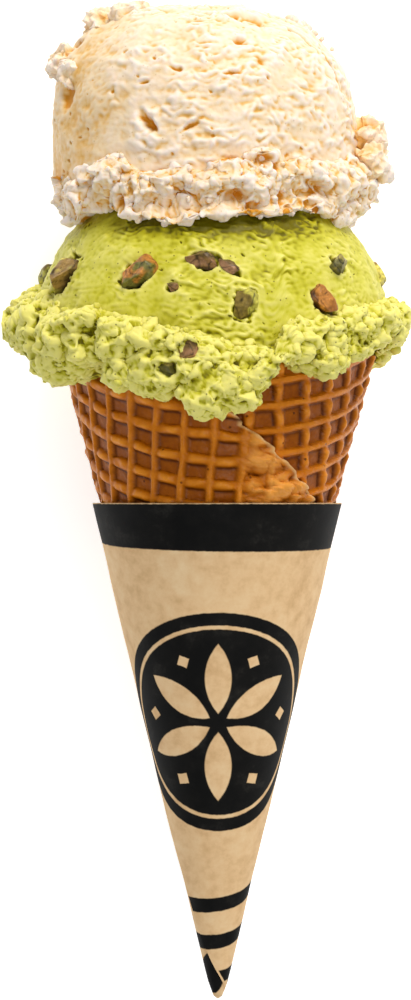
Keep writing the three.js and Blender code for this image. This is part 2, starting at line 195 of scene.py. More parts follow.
def crests(points, size, seed):
    """Sharp winding ridges between smooth dips, from 0 to 1."""
    winding = noise(drift(points, size * 1.5, size * 0.3, seed + 5), size, seed)
    return (1 - np.clip(1.6 * np.abs(winding), 0, 1)) ** 1.5


print("lumps on that ring:", knobs(some_points, 4, 0).mean().round(2), "high on average, ridges:",
      crests(some_points, 4, 0).mean().round(2))

# %% [markdown]
# ## Shaping a wrapped grid
# A scoop is dense where it shows, so its surface is kept as a grid of rings and columns, from pole to
# pole. Blender's UV sphere has just that grid. Its points are moved to their places, as a sculptor
# moves clay, and the grid makes it quick to find which way the surface faces and how deep a fold is.


# %% Which way a grid faces, and how it grows
def facing(places):
    """The outward direction at each point of a grid whose rows run down and columns run round."""
    across = np.roll(places, -1, 1) - np.roll(places, 1, 1)
    down = np.empty_like(places)
    down[1:-1] = places[2:] - places[:-2]
    down[0], down[-1] = down[1], down[-2]
    out = np.cross(down, across)
    out[0] = out[1].mean(0)
    out[-1] = out[-2].mean(0)
    return out / np.maximum(np.linalg.norm(out, axis=-1, keepdims=True), 1e-9)


def grow(places, lift):
    """Every point moved outwards by its lift, in millimetres."""
    return places + facing(places) * lift[..., None]


def averaged(grid, times):
    """A grid blurred over its neighbours."""
    grid = grid.copy()
    for _ in range(times):
        middle = (np.roll(grid, 1, 1) + np.roll(grid, -1, 1)) / 4 + grid / 2
        grid[1:-1] = (middle[2:] + middle[:-2]) / 4 + middle[1:-1] / 2
    return grid


def evened(places, times):
    """Slides the points along the surface until they are spread evenly, without flattening its bumps."""
    for _ in range(times):
        out = facing(places)
        shift = averaged(places, 1) - places
        shift -= out * np.sum(shift * out, axis=-1, keepdims=True)
        shift[0] = shift[-1] = 0
        places = places + shift
    return places


def depth_of(places, reach):
    """How far each point stands above (or lies below) its surroundings, in millimetres."""
    return np.sum((places - averaged(places, reach)) * facing(places), axis=-1)


cone_rows = place(np.arange(1, 9)[:, None], np.arange(0, 360, 30), np.arange(9, 1, -1)[:, None])
print("a cone's grid faces this way in front:", facing(cone_rows)[4, 0].round(2))


# %% Selecting pieces and moving their points
def to_frame(points):
    return (points + AXIS) * MM


def only(*pieces):
    """Selects these pieces alone, with the last one active."""
    bpy.ops.object.select_all(action="DESELECT")
    for piece in pieces:
        piece.select_set(True)
        bpy.context.view_layer.objects.active = piece


def corners_of(piece):
    found = np.empty(len(piece.data.vertices) * 3, np.float32)
    piece.data.vertices.foreach_get("co", found)
    return found.reshape(-1, 3).astype(float)


def move_corners(piece, points):
    piece.data.vertices.foreach_set("co", points.astype(np.float32).ravel())
    piece.data.update()


def paint(piece, name, values):
    """Keeps one number for each vertex, which the piece's material reads."""
    layer = piece.data.attributes.new(name, "FLOAT", "POINT")
    layer.data.foreach_set("value", np.ascontiguousarray(values, np.float32))


print("the axis' foot in the frame, m:", to_frame(np.zeros(3)).round(4))


# %% Naming, joining and wrapping
def named(name):
    """The primitive that was just added, with its name, and its points."""
    piece = bpy.context.object
    piece.name = piece.data.name = name
    return piece, corners_of(piece)


def joined(name, pieces):
    only(*pieces)
    bpy.ops.object.join()
    whole = named(name)[0]
    print(name, len(pieces), "parts,", len(whole.data.polygons), "faces")
    return whole


def faces_out():
    """Turns the active piece's faces outwards."""
    bpy.ops.object.mode_set(mode="EDIT")
    bpy.ops.mesh.select_all(action="SELECT")
    bpy.ops.mesh.normals_make_consistent(inside=False)
    bpy.ops.object.mode_set(mode="OBJECT")


def wrapped(name, places, **painted):
    """A UV sphere whose rings and columns are moved to a grid of places."""
    rings, columns = places.shape[0] - 1, places.shape[1]
    only()
    bpy.ops.mesh.primitive_uv_sphere_add(segments=columns, ring_count=rings, radius=1)
    piece, ball = named(name)
    ring = np.rint(np.arccos(np.clip(ball[:, 2], -1, 1)) / math.pi * rings).astype(int)
    column = np.rint(np.arctan2(ball[:, 1], ball[:, 0]) / math.tau * columns).astype(int) % columns
    column[(ring == 0) | (ring == rings)] = 0
    move_corners(piece, to_frame(places[ring, column]))
    for key, values in painted.items():
        paint(piece, key, values[ring, column])
    bpy.ops.object.shade_smooth()
    print(name, len(piece.data.vertices), "points")
    return piece


# %% [markdown]
# ## Materials
# Each material is a small tree of nodes. One function turns a colour as a painter would name it (an
# sRGB hex value) into the linear numbers that light is worked out with, and one adds a node to the
# tree of the material at hand. Arithmetic between nodes uses the same function as every other node.


# %% Colours
def linear(hexed):
    values = [int(hexed[k:k + 2], 16) / 255 for k in (1, 3, 5)]
    return [v / 12.92 if v <= 0.04045 else ((v + 0.055) / 1.055) ** 2.4 for v in values] + [1]


print("#808080 gives", round(linear("#808080")[0], 3), "of white's light")


# %% Nodes and their links
def connect(node, inputs):
    """Links or sets a node's inputs, each known by its number, by n and its number, or by its name."""
    for key, value in inputs.items():
        if isinstance(key, str):
            key = int(key[1:]) if key[1:].isdigit() else key.replace("_", " ")
        if isinstance(value, bpy.types.NodeSocket):
            tree.links.new(value, node.inputs[key])
        else:
            node.inputs[key].default_value = linear(value) if isinstance(value, str) else value


def add(kind, *values, out=0, stops=(), **others):
    """Adds a node and gives one of its outputs. A second word in `kind` is the node's operation.
    Values go to the inputs in order. Other names are the node's settings or, failing that, inputs."""
    kind, _, operation = kind.partition(" ")
    made = tree.nodes.new("ShaderNode" + kind)
    if operation:
        made.operation = operation
    for key in [key for key in others if hasattr(made, key)]:
        setattr(made, key, others.pop(key))
    for at, _ in stops[2:]:
        made.color_ramp.elements.new(at)
    for stop, (at, colour) in zip(made.color_ramp.elements if stops else (), stops):
        stop.position, stop.color = at, linear(colour)
    connect(made, {**dict(enumerate(values)), **others})
    return made.outputs[out]


# %% Materials and the pieces that they dress
def new_material(name):
    """A node material, whose tree the next nodes are added to."""
    global tree
    material = bpy.data.materials.new(name)
    material.use_nodes = True
    tree = material.node_tree
    return material


def finish_material(**inputs):
    """Sets the Principled shader that ends the tree."""
    connect(tree.nodes["Principled BSDF"], inputs)


def dress(piece, material, node):
    """Gives a finished piece its material, hangs it from the frame's root and hides the solid that it stands
    for.
    """
    piece.data.materials.clear()
    piece.data.materials.append(material)
    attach(piece, "root")
    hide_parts(node)
    print(piece.name, "is made of", material.name, "with", len(material.node_tree.nodes), "nodes")


# %% [markdown]
# ## Camera, floor and light
# The cone lies on a white table and the camera looks straight down on it from 0.6 m above its axis,
# far enough that the cone hardly narrows. The key light is a soft lamp beyond the scoops, so every
# lump throws its shadow towards the tip. It and the fill above the tip stand to the right of the
# axis, so the left side falls off into shade, which a faint cool lamp keeps from going dull.

# %% Camera
CAMERA_AWAY = 600  # above the cone's axis
VIEW_HEIGHT = 210  # how much of the cone the picture's height takes in
SENSOR = 24
camera = bpy.data.objects.new("camera", bpy.data.cameras.new("camera"))
camera.data.sensor_fit = "VERTICAL"
camera.data.sensor_height = SENSOR
camera.data.lens = SENSOR * CAMERA_AWAY / VIEW_HEIGHT
camera.location = to_frame(np.array([-2.6, 108.5, CAMERA_AWAY]))
bpy.context.scene.collection.objects.link(camera)
bpy.context.scene.camera = camera
print("lens:", round(camera.data.lens, 1), "mm")

# %% Floor
only()
bpy.ops.mesh.primitive_plane_add(size=6, location=(0, 0, -0.0002))
floor = bpy.context.object
floor.name = "table"
white_table = new_material("matt_white_laminate")
finish_material(Base_Color="#F4F4F4", Roughness=0.9, Specular_IOR_Level=0.1,
                Emission_Color="#FFFFFF", Emission_Strength=0.6)
floor.data.materials.append(white_table)
print("table:", [round(side, 2) for side in floor.dimensions], "m")


# %% Lamps
def lamp(name, power, size, place_at, towards=(0, 0.02, 0.03), colour="#FFFFFF"):
    """A square soft lamp that faces a point on the cone."""
    light = bpy.data.lights.new(name, "AREA")
    light.energy, light.size = power, size
    light.color = linear(colour)[:3]
    holder = bpy.data.objects.new(name, light)
    holder.location = place_at
    x, y, z = np.array(place_at) - np.array(towards)
    holder.rotation_euler = (math.atan2(math.hypot(x, y), z), 0, math.atan2(x, -y))
    bpy.context.scene.collection.objects.link(holder)
    print(name, "lamp:", power, "W,", size, "m wide")


lamp("key", 7.1, 0.4, (0.18, 0.80, 0.56), colour="#FFFAF2")
lamp("fill", 4.1, 0.7, (0.17, -0.3, 1.1))
lamp("left_sheen", 0.1, 0.6, (-0.9, 0.0, 0.25), colour="#F2F2FF")
world = bpy.data.worlds.new("studio")
world.use_nodes = True
tree = world.node_tree
connect(tree.nodes["Background"], {"Color": "#F2F5FA", "Strength": 0.33})
bpy.context.scene.world = world
bpy.context.scene.view_settings.view_transform = "Standard"

# %% [markdown]
# ## Paper sleeve
# The sleeve is one piece of kraft paper, cut as a fan and rolled into a cone with its straight edge
# outside. So it starts here as a flat grid, which is rolled up: each point keeps its distance from
# the fan's tip, and its angle on the fan becomes an angle round the cone. The same flat places are
# the UV map, so the print lies on the paper as it did on the printer's sheet.

# %% The blank's edge, and the roll's radius
PAPER = 0.3
PAPER_LIFT = 0.4  # the outer edge lies this far out on the turn below it
LAP_TURN = 70  # and settles onto it over these degrees
PAPER_SINK = 0.36  # and the turn below runs on this far inside
UNDER_TURN = 48  # what of the paper runs on below the outer edge
HALF_CONE = math.atan(SLEEVE_SLOPE)
CUT_LEAN = math.radians(23.5)
CUT_SHIFT = 3.9


def paper_edge(height):
    """The azimuth of the outer edge, a straight line on the blank that leans and misses the fan's tip."""
    on_blank = height / math.cos(HALF_CONE)
    angle = CUT_LEAN - np.arcsin(np.clip(CUT_SHIFT / on_blank, -1, 1))
    return -np.degrees(angle) / math.sin(HALF_CONE)


def nose(height):
    """The sleeve's radius: a straight cone, pinched shut at its tip."""
    return np.interp(height, [TIP, TIP + 0.5, 7.6, 10, SLEEVE_TOP],
                     [0.02, 0.6, 1.76, SLEEVE_SLOPE * 10, SLEEVE_SLOPE * SLEEVE_TOP])


print("outer edge at the rim:", paper_edge(SLEEVE_TOP).round(1), "degrees round, radius",
      nose(SLEEVE_TOP).round(1), "mm")

# %% Rolling the blank
only()
bpy.ops.mesh.primitive_grid_add(x_subdivisions=int(230 * DETAIL), y_subdivisions=int(120 * DETAIL), size=1)
sleeve, flat = named("kraft_sleeve")
share_round, share_up = flat[:, 0] + 0.5, flat[:, 1] + 0.5
back = share_round * (360 + UNDER_TURN)
height = TIP * (SLEEVE_TOP / TIP) ** (share_up ** 0.62)  # rows lie closer together at the tip
azimuth = paper_edge(height) + back
lift = PAPER_LIFT * np.maximum(0, 1 - back / LAP_TURN) - PAPER_SINK * smooth(back, 352, 366)
ideal = place(nose(height), azimuth, height)
wave = (noise(ideal, 17, 3) * 0.22 + noise(ideal, 6, 4) * 0.05) * smooth(height, 12, 40)
radius = np.maximum(nose(height) + (lift + wave) * smooth(height, 4, 12), 0.01)
move_corners(sleeve, to_frame(place(radius, azimuth, height)))
print("sleeve rolled from", len(sleeve.data.polygons), "faces")

# %% The blank's flat places become the UV map
on_blank = height / math.cos(HALF_CONE)
fan = np.radians(azimuth * math.sin(HALF_CONE))
blank = np.stack([on_blank * np.sin(fan), on_blank * np.cos(fan)], axis=-1) / 100
of_loop = np.empty(len(sleeve.data.loops), np.int32)
sleeve.data.loops.foreach_get("vertex_index", of_loop)
sleeve.data.uv_layers.active.name = "flat_blank"
sleeve.data.uv_layers.active.data.foreach_set("uv", blank[of_loop].astype(np.float32).ravel())
faces_out()
wall = sleeve.modifiers.new("wall", "SOLIDIFY")
wall.thickness = PAPER * MM
wall.offset = -1
bpy.ops.object.modifier_apply(modifier="wall")
paper = corners_of(sleeve)
paper[:, 1] = np.maximum(paper[:, 1], sleeve_low.y)  # the wall is squashed flat at the very tip
move_corners(sleeve, paper)
bpy.ops.object.shade_smooth_by_angle(angle=math.radians(40))
print("sleeve:", len(sleeve.data.polygons), "faces")

# %% [markdown]
# ## Unbleached kraft paper with flexographic print
# Kraft paper is pressed from unbleached wood pulp: warm brown, slightly cloudy, with short fibres
# and a dull surface. One black ink is printed on it: a band under the rim, three slanting stripes by
# the tip, and a round ornament. The ink soaks in, so it is as matt as the paper, with faint scuffs.

# %% Places on the flat paper
FLAT_SCALE = 100  # the UV map counts in decimetres
kraft = new_material("unbleached_kraft_paper")
flat_map = add("UVMap", uv_map="flat_blank")


def within(value, low, high, soft=0.12):
    """1 between two limits and 0 outside them, with an edge as soft as ink on paper."""
    rise = add("MapRange", value, low - soft, low + soft)
    fall = add("MapRange", value, high + soft, high - soft)
    return add("Math MULTIPLY", rise, fall)


def length_of(x, y):
    return add("Math SQRT", add("Math ADD", add("Math MULTIPLY", x, x), add("Math MULTIPLY", y, y)))


def turned(x, y, turn, shift=0.0):
    """A place's distance along a direction that is turned from the fan's x, less a shift."""
    return add("Math MULTIPLY_ADD", x, math.cos(turn), add("Math MULTIPLY_ADD", y, math.sin(turn), -shift))


flat_x, flat_y = add("SeparateXYZ", flat_map, out=slice(2))
bleed = add("Math MULTIPLY_ADD", add("TexNoise", Vector=flat_map, Scale=FLAT_SCALE / 1.2), 0.3, -0.15)
x = add("Math MULTIPLY", flat_x, FLAT_SCALE)
y = add("Math MULTIPLY_ADD", flat_y, FLAT_SCALE, bleed)
reach = length_of(x, y)
print("flat places:", len(tree.nodes), "nodes")

# %% The band and the stripes
BAND = (100.9, 110.8)  # how far from the fan's tip it starts and ends, in front
BAND_STOPS = 42  # right of here its lower border rises no more
front_x = add("Math MINIMUM", x, BAND_STOPS)
sag = add("Math MULTIPLY", front_x, add("Math MULTIPLY_ADD", front_x, 0.00081, -0.015))
band = within(add("Math SUBTRACT", reach, sag), BAND[0], 200)
band = add("Math MULTIPLY", band, within(reach, 0, BAND[1]))


def slanting(x, y, low, high, lean_low, lean_high=0.15):
    """A stripe across the fan's middle, between two lines that lean a little."""
    over = add("Math SUBTRACT", y, add("Math MULTIPLY_ADD", x, lean_low, low))
    under = add("Math SUBTRACT", add("Math MULTIPLY_ADD", x, lean_high, high), y)
    between = add("Math MULTIPLY", within(over, 0, 99), within(under, 0, 99))
    return add("Math MULTIPLY", between, within(x, -14, 14))


LOWER_STRIPE = (15.4, 18.6, 0.2)
stripe = add("Math MAXIMUM", slanting(x, y, 23.6, 26.7, 0.17), slanting(x, y, *LOWER_STRIPE))
tip_stripe = add("Math MULTIPLY", slanting(x, y, 7.7, 10.5, 0.2), within(reach, 4, 60))
stripe = add("Math MAXIMUM", stripe, tip_stripe)
print("band:", round(BAND[1] - BAND[0], 1), "mm high, with the stripes", len(tree.nodes), "nodes so far")

# %% The ornament
# A black disc, on which a ring, six pointed petals and six small diamonds are left bare.
BADGE_HEIGHT, BADGE_RADIUS = 64.7, 23.4
BADGE_RING = (19.9, 20.7)
PETAL_AT, PETAL_LONG, PETAL_WIDE = 9.4, 7.4, 2.7  # its middle, half its length and half its width
DIAMOND_AT, DIAMOND_SIZE = 14.6, 1.5
up = add("Math SUBTRACT", y, BADGE_HEIGHT)
from_middle = length_of(x, up)
angle = add("Math ARCTAN2", up, x)


def sixfold(turn):
    """Each point's place along and beside the nearest of six spokes round the badge's middle."""
    folded = add("Math MODULO", add("Math ADD", angle, math.tau + turn), math.tau / 6)
    folded = add("Math SUBTRACT", folded, math.tau / 12)
    aside = add("Math ABSOLUTE", add("Math MULTIPLY", from_middle, add("Math SINE", folded)))
    return add("Math MULTIPLY", from_middle, add("Math COSINE", folded)), aside


# a petal is where two discs overlap, each with this radius
PETAL_BOW = (PETAL_LONG ** 2 + PETAL_WIDE ** 2) / (2 * PETAL_WIDE)
along, aside = sixfold(0)
aside = add("Math ADD", aside, PETAL_BOW - PETAL_WIDE)
petals = within(length_of(add("Math SUBTRACT", along, PETAL_AT), aside), -9, PETAL_BOW)
along, aside = sixfold(math.tau / 12)
from_diamond = add("Math ADD", add("Math ABSOLUTE", add("Math SUBTRACT", along, DIAMOND_AT)), aside)
bare = add("Math MAXIMUM", within(from_middle, *BADGE_RING), petals)
bare = add("Math MAXIMUM", bare, within(from_diamond, -9, DIAMOND_SIZE))
ornament = add("Math MULTIPLY", within(from_middle, -9, BADGE_RADIUS), add("Math SUBTRACT", 1, bare))
print("petals bowed to a radius of", round(PETAL_BOW, 1), "mm,", len(tree.nodes), "nodes so far")

# %% The end of the blank
# It shows beside the outer edge at the tip, and has a dark corner of its own.
ROUND_THE_BLANK = math.tau * math.sin(HALF_CONE)
end_x = turned(x, y, -ROUND_THE_BLANK)
end_y = turned(x, y, math.tau / 4 - ROUND_THE_BLANK)
off = add("Math MINIMUM", add("Math SUBTRACT", end_y, 8.3), 0.5)
bow = add("Math MULTIPLY_ADD", add("Math MULTIPLY", off, off), 0.17, end_x)
left_side = within(add("Math MULTIPLY_ADD", end_y, -0.73, end_x), -12.6, 99)
corner = add("Math MULTIPLY", add("Math MULTIPLY", within(bow, -20, 1), left_side), within(reach, 5.4, 14.2))
on_the_end = add("Math MAXIMUM", corner, slanting(end_x, end_y, *LOWER_STRIPE))
on_the_end = add("Math MULTIPLY", on_the_end, within(end_y, 3, 99))
to_cut = turned(x, y, CUT_LEAN, CUT_SHIFT)
cut_line = add("Math MULTIPLY", within(to_cut, -0.6, 0.35, 0.06), within(reach, 0, 11.5))  # stays bare
print("all round, the blank turns", round(math.degrees(ROUND_THE_BLANK), 1), "degrees on its fan")

# %% Ink on paper
ink = add("Math MAXIMUM", add("Math MAXIMUM", band, stripe), add("Math MAXIMUM", ornament, on_the_end))
ink = add("Math MULTIPLY", ink, add("Math SUBTRACT", 1, cut_line))
fibre, mottle, scuff = (
    add("TexNoise", Vector=flat_map, Scale=FLAT_SCALE / size, Detail=detail, Roughness=rough)
    for size, detail, rough in [(3.2, 5, 0.65), (14, 3, 0.6), (9, 6, 0.7)])
paper_colour = add("ValToRGB", add("Math MULTIPLY_ADD", fibre, 0.55, add("Math MULTIPLY", mottle, 0.45)),
                   stops=[(0.3, "#D1A774"), (0.5, "#EBC593"), (0.72, "#F6D9AB")])
ink_colour = add("ValToRGB", scuff, stops=[(0.42, "#060605"), (0.56, "#0F0E0C"), (0.74, "#2C2A26")])
printed = add("Mix", ink, data_type="RGBA", n6=paper_colour, n7=ink_colour, out=2)
tooth = add("TexNoise", Vector=flat_map, Scale=FLAT_SCALE / 0.6, Detail=3)  # coarser than real fibres
finish_material(Base_Color=printed, Roughness=0.72, Specular_IOR_Level=0.15,
                Normal=add("Bump", Height=tooth, Strength=0.18, Distance=0.0001))
dress(sleeve, kraft, "paper_sleeve")

# %% [markdown]
# ## Rolled wafer
# A waffle cone starts as a flat round wafer baked between two hot irons, whose grooves leave a grid of
# ribs. It is rolled up while it is soft, and where the outer end is pressed down the ribs melt flat.
# The wafer's skin is one grid of points that starts at the free edge and runs back round the cone,
# so the step at that edge is a real one. The ribs are worked out on the flat sheet, where they are
# straight, and so they curve over the cone as the real ones do.

# %% The wafer's measures
RIM = 138.5
WAFER_FOOT = 9.6
WAFER_SLOPE = 0.268
WAFER_IN_SLEEVE = 0.7  # paper and air between the sleeve's face and the wafer
SHEET = 1.1  # how far the free end stands out on the turn below
SHEET_FADES = 55  # and settles onto it over these degrees
SHEET_TURN = math.sin(HALF_CONE)
SHEET_LEAN = 5
EDGE_AZIMUTH, EDGE_HEIGHT = 6.2, 124.9  # the free edge goes through here
EDGE_WIND = 2.56  # and winds on by these degrees for each millimetre down
EDGE_STEP = 5.2
RIB_DEPTH = 1.3
# rib spacing across and along the sheet, and where the ribs start
GRID_LEFT = np.array([6.27, 5.05, 0.88, 0.42])
GRID_RIGHT = np.array([5.07, 6.5, 0.66, 0.48])


def wafer_radius(height):
    in_sleeve = SLEEVE_SLOPE * np.minimum(height, SLEEVE_TOP) - WAFER_IN_SLEEVE
    return in_sleeve + WAFER_SLOPE * np.maximum(0, height - SLEEVE_TOP)


print("wafer's rim:", (2 * wafer_radius(RIM)).round(1), "mm across")


# %% Its free edge and its ribs
def wafer_edge(height):
    """The free edge's azimuth, with the small steps of a torn biscuit."""
    line = place(60, 0, height)
    ragged = 1.3 * noise(line, 2.4, 11) + noise(line, 9, 12)
    step = np.mod(height / EDGE_STEP + 0.3, 1)
    return EDGE_AZIMUTH + EDGE_WIND * (EDGE_HEIGHT - height) + ragged + 2.2 * (smooth(step, 0, 0.2) - step)


def wafer_relief(azimuth, height):
    """Rib height from 0, a cell's floor, to 1, how far it has melted, and painted shade in the cells'
    corners.
    """
    share = smooth(-azimuth, 80, 280)[..., None]
    grid = blend(GRID_LEFT, GRID_RIGHT, share)
    spot = place(wafer_radius(height), azimuth, height)
    sheet = np.radians(azimuth * SHEET_TURN - SHEET_LEAN)
    reach = height / math.cos(HALF_CONE)
    across = reach * np.sin(sheet) + 0.3 * noise(spot, 7, 21)
    along = reach * np.cos(sheet) + 0.3 * noise(spot, 7, 22)
    from_a = np.mod(across / grid[..., 0] + grid[..., 2] + 0.5, 1) - 0.5
    from_b = np.mod(along / grid[..., 1] + grid[..., 3] + 0.5, 1) - 0.5
    wide = 1 + 0.2 * noise(spot, 4, 23)
    aside = np.abs(from_a) * grid[..., 0]
    up = 1 - smooth(aside, 0.4 * wide, 1.05 * wide)
    above = from_b * grid[..., 1]
    bar = np.where(above > 0, above / 1.35, -above / 1.0) / wide
    level = np.sqrt(np.clip(1 - bar ** 2, 0, 1)) * (0.7 + 0.3 * smooth(aside, 0.9, 2.0))
    level *= 0.94 + 0.3 * noise(spot, 2.4, 24)
    ribs = np.maximum(up * (0.8 + 0.14 * noise(spot, 3.5, 28)), level)
    # painted shade: a dark line under each bar, where its shadow falls, and on the cone's left side a dark
    # strip beside each upright rib
    corner = np.exp(-((above + 1.15 * wide) / 0.36) ** 2) * smooth(aside, 0.8, 1.2)
    beside = np.exp(-((from_a * grid[..., 0] - 1.1 * wide) / 0.35) ** 2) * smooth(-azimuth, -10, 40)
    corner = np.maximum(corner, 0.8 * beside * (1 - smooth(ribs, 0.3, 0.6)))
    melted = smooth(azimuth + 5 * noise(spot, 6, 25), 7, 14)
    pressed = 0.05 + 0.3 * noise(spot, 5, 26) + 1.45 * knobs(spot * (0.62, 1.2, 0.62), 2.0, 27)
    return blend(ribs, pressed + 0.5 * (ribs - 0.6), melted), melted, corner * (1 - melted)


print("free edge at the rim and the sleeve:", wafer_edge(np.array([RIM, SLEEVE_TOP])).round(1), "degrees")

# %% The wafer's skin
columns, rows = int(620 * DETAIL), int(132 * DETAIL)
only()
bpy.ops.mesh.primitive_grid_add(x_subdivisions=columns, y_subdivisions=rows, size=1)
wafer, flat = named("baked_wafer")
share_round, share_up = flat[:, 0] + 0.5, flat[:, 1] + 0.5
SHOWN_FROM = 104.5
HIDDEN_ROWS = 8 / rows  # the few rows that run down inside the sleeve
EDGE_SHARE = 5 / columns  # the columns that make the rounded free edge
EDGE_TURN = 0.9
EDGE_ROUND = 0.45
height = np.where(share_up < HIDDEN_ROWS, blend(WAFER_FOOT, SHOWN_FROM, share_up / HIDDEN_ROWS),
                  blend(SHOWN_FROM, RIM, (share_up - HIDDEN_ROWS) / (1 - HIDDEN_ROWS)))
back = np.where(share_round < EDGE_SHARE, EDGE_TURN * share_round / EDGE_SHARE,
                blend(EDGE_TURN, 360, (share_round - EDGE_SHARE) / (1 - EDGE_SHARE)))
azimuth = wafer_edge(height) - back
plain = wafer_radius(height)
ideal = place(plain, azimuth, height)
seam = np.radians(back) * plain
relief, melted, corner = wafer_relief(azimuth, height)
clear_of_paper = smooth(height, 107.7, 109)
over = SHEET * np.maximum(0, 1 - back / SHEET_FADES)
rounding = EDGE_ROUND * (1 - np.sqrt(np.clip(1 - (1 - np.clip(seam / EDGE_ROUND, 0, 1)) ** 2, 0, 1)))
ground = noise(ideal, 2.2, 31) * 0.12 + noise(ideal, 0.9, 32) * 0.06
radius = plain - rounding + RIB_DEPTH * (relief - 1) + (over + ground) * clear_of_paper
radius = np.where(height < SHOWN_FROM, plain - 0.3, radius)
last_column = share_round > 1 - 0.5 / columns  # it lies under the free edge
radius = np.where(last_column, np.minimum(radius, plain - 0.2), radius)
move_corners(wafer, to_frame(place(radius, azimuth, height)))
paint(wafer, "relief", relief)
paint(wafer, "melted", melted * (height > SHOWN_FROM))
# a painted highlight along the rounded free edge
paint(wafer, "painted_edge_highlight", 1 - smooth(seam, 0.3, 1.4))
# the painted shade in the cells' corners
paint(wafer, "corner", corner)
print("wafer:", len(wafer.data.polygons), "faces")

# %% Closing the roll
# The first and last columns face each other across the free edge, and the two ends are open rings.
order = np.lexsort((share_round, np.rint(share_up * 10000))).reshape(-1, columns + 1)
first, last = set(order[:, 0].tolist()), set(order[:, -1].tolist())
only(wafer)
bpy.ops.object.mode_set(mode="EDIT")
bpy.ops.mesh.select_mode(type="EDGE")
bpy.ops.mesh.select_all(action="DESELECT")
bpy.ops.object.mode_set(mode="OBJECT")
for edge in wafer.data.edges:
    ends = set(edge.vertices)
    edge.select = ends <= first or ends <= last
bpy.ops.object.mode_set(mode="EDIT")
bpy.ops.mesh.bridge_edge_loops()
bpy.ops.mesh.select_all(action="DESELECT")
bpy.ops.mesh.select_non_manifold(extend=False)
bpy.ops.mesh.edge_face_add()
faces_out()
bpy.ops.object.shade_smooth_by_angle(angle=math.radians(60))
print("wafer closed:", len(wafer.data.polygons), "faces")

# %% [markdown]
# ## Baked sugar wafer
# The batter is flour, sugar and butter. Against the iron its ribs caramelise to a glossy orange brown, the
# floors of the cells darken further, and fine bubbles burst into pin holes. Shade is also painted into the
# cells' corners and the pin holes, and a highlight along the free edge.

# %% Wafer colours
baked = new_material("baked_sugar_wafer")
relief_in, melted_in, painted_edge_highlight_in, painted_rib_shade_in = (
    add("Attribute", attribute_name=name, out="Fac") for name in ("relief", "melted", "painted_edge_highlight", "corner"))
here = add("TexCoord", out="Object")
toast = add("TexNoise", Vector=here, Scale=1 / (5 * MM), Detail=4, Roughness=0.6)
fine = add("TexNoise", Vector=here, Scale=1 / (0.9 * MM), Detail=3, Roughness=0.6)
level = add("Math MULTIPLY_ADD", relief_in, 0.72, add("Math MULTIPLY", toast, 0.28))
level = add("Math ADD", level, add("Math MULTIPLY_ADD", fine, 0.26, -0.13))
crust = add("ValToRGB", level,
            stops=[(0.08, "#964C04"), (0.3, "#B46408"), (0.62, "#CE740A"), (0.92, "#EE9428")])
level = add("Math MULTIPLY_ADD", relief_in, 0.45, add("Math MULTIPLY", toast, 0.55))
soft_crust = add("ValToRGB", level, stops=[(0.25, "#8E4806"), (0.5, "#C67218"), (0.8, "#EEA248")])
bubbles = add("TexVoronoi", Vector=here, Scale=1 / (3.6 * MM), out="Distance")
whole = add("MapRange", add("Math MULTIPLY_ADD", fine, 0.12, bubbles), 0.1, 0.15)  # 0 in a pin hole
# painted shade: the pin holes are coloured dark for the shade inside them
hole = add("Math SUBTRACT", 1, whole)
# mixed over the crust: the pressed end's melted crust, a painted highlight on the free edge, painted shade in
# the cells' corners and in the pin holes
for where, share, colour in [(melted_in, 0.75, soft_crust), (painted_edge_highlight_in, 0.9, "#E8B878"),
                             (painted_rib_shade_in, 0.92, "#4E1E02"), (hole, 0.75, "#4A210A")]:
    crust = add("Mix", add("Math MULTIPLY", where, share), data_type="RGBA", n6=crust, n7=colour, out=2)
pores = add("Math ADD", add("Math MULTIPLY", fine, 0.5), add("Math MULTIPLY", whole, 0.5))
finish_material(Base_Color=crust, Roughness=0.32, Specular_IOR_Level=0.16,
                Normal=add("Bump", Height=pores, Strength=0.7, Distance=0.0004))
dress(wafer, baked, "waffle_cone")

# %% [markdown]
# ## Scoops
# A scoop rolls a ball off the frozen cream: the dome is smeared and torn into overlapping flakes, and
# what the scoop's rim pushes out is left round the foot as a ragged skirt of crumbly lumps. The same
# few rules give both scoops. The dome and the skirt are worked out from the centre outwards, ring by
# ring, and the torn surface then grows on them in layers, coarse lumps first and fine ones on those.

# %% Lumps shared with the solids
FLOOR = -AXIS_HEIGHT  # the table, as the cone's coordinates have it


def seeded_draws(seed):
    """The same draws, one by one, as the solids' lumps were made with."""
    state = [seed]

    def draw():
        state[0] = (state[0] + 0x6D2B79F5) & 0xFFFFFFFF
        t = state[0]
        t = ((t ^ (t >> 15)) * (t | 1)) & 0xFFFFFFFF
        t ^= (t + ((t ^ (t >> 7)) * (t | 61) & 0xFFFFFFFF)) & 0xFFFFFFFF
        return (t ^ (t >> 14)) / 4294967296

    draw()
    return draw


def lump_field(seed, count, middle, smallest, largest):
    """Round lumps over a skirt: the height of the tallest one over each point."""
    draw = seeded_draws(seed)
    lumps = []
    for _ in range(count):
        radius = blend(smallest, largest, draw())
        lumps.append((middle(draw(), draw()), radius))

    def at(points):
        tallest = np.zeros(points.shape[:-1])
        for centre, radius in lumps:
            rest = 1 - np.sum((points - centre) ** 2, axis=-1) / radius ** 2
            tallest = np.maximum(tallest, radius * np.sqrt(np.clip(rest, 0, None)))
        return tallest

    return at


print("first two draws:", *(round(drawn(), 3) for drawn in (seeded_draws(7), seeded_draws(23))))


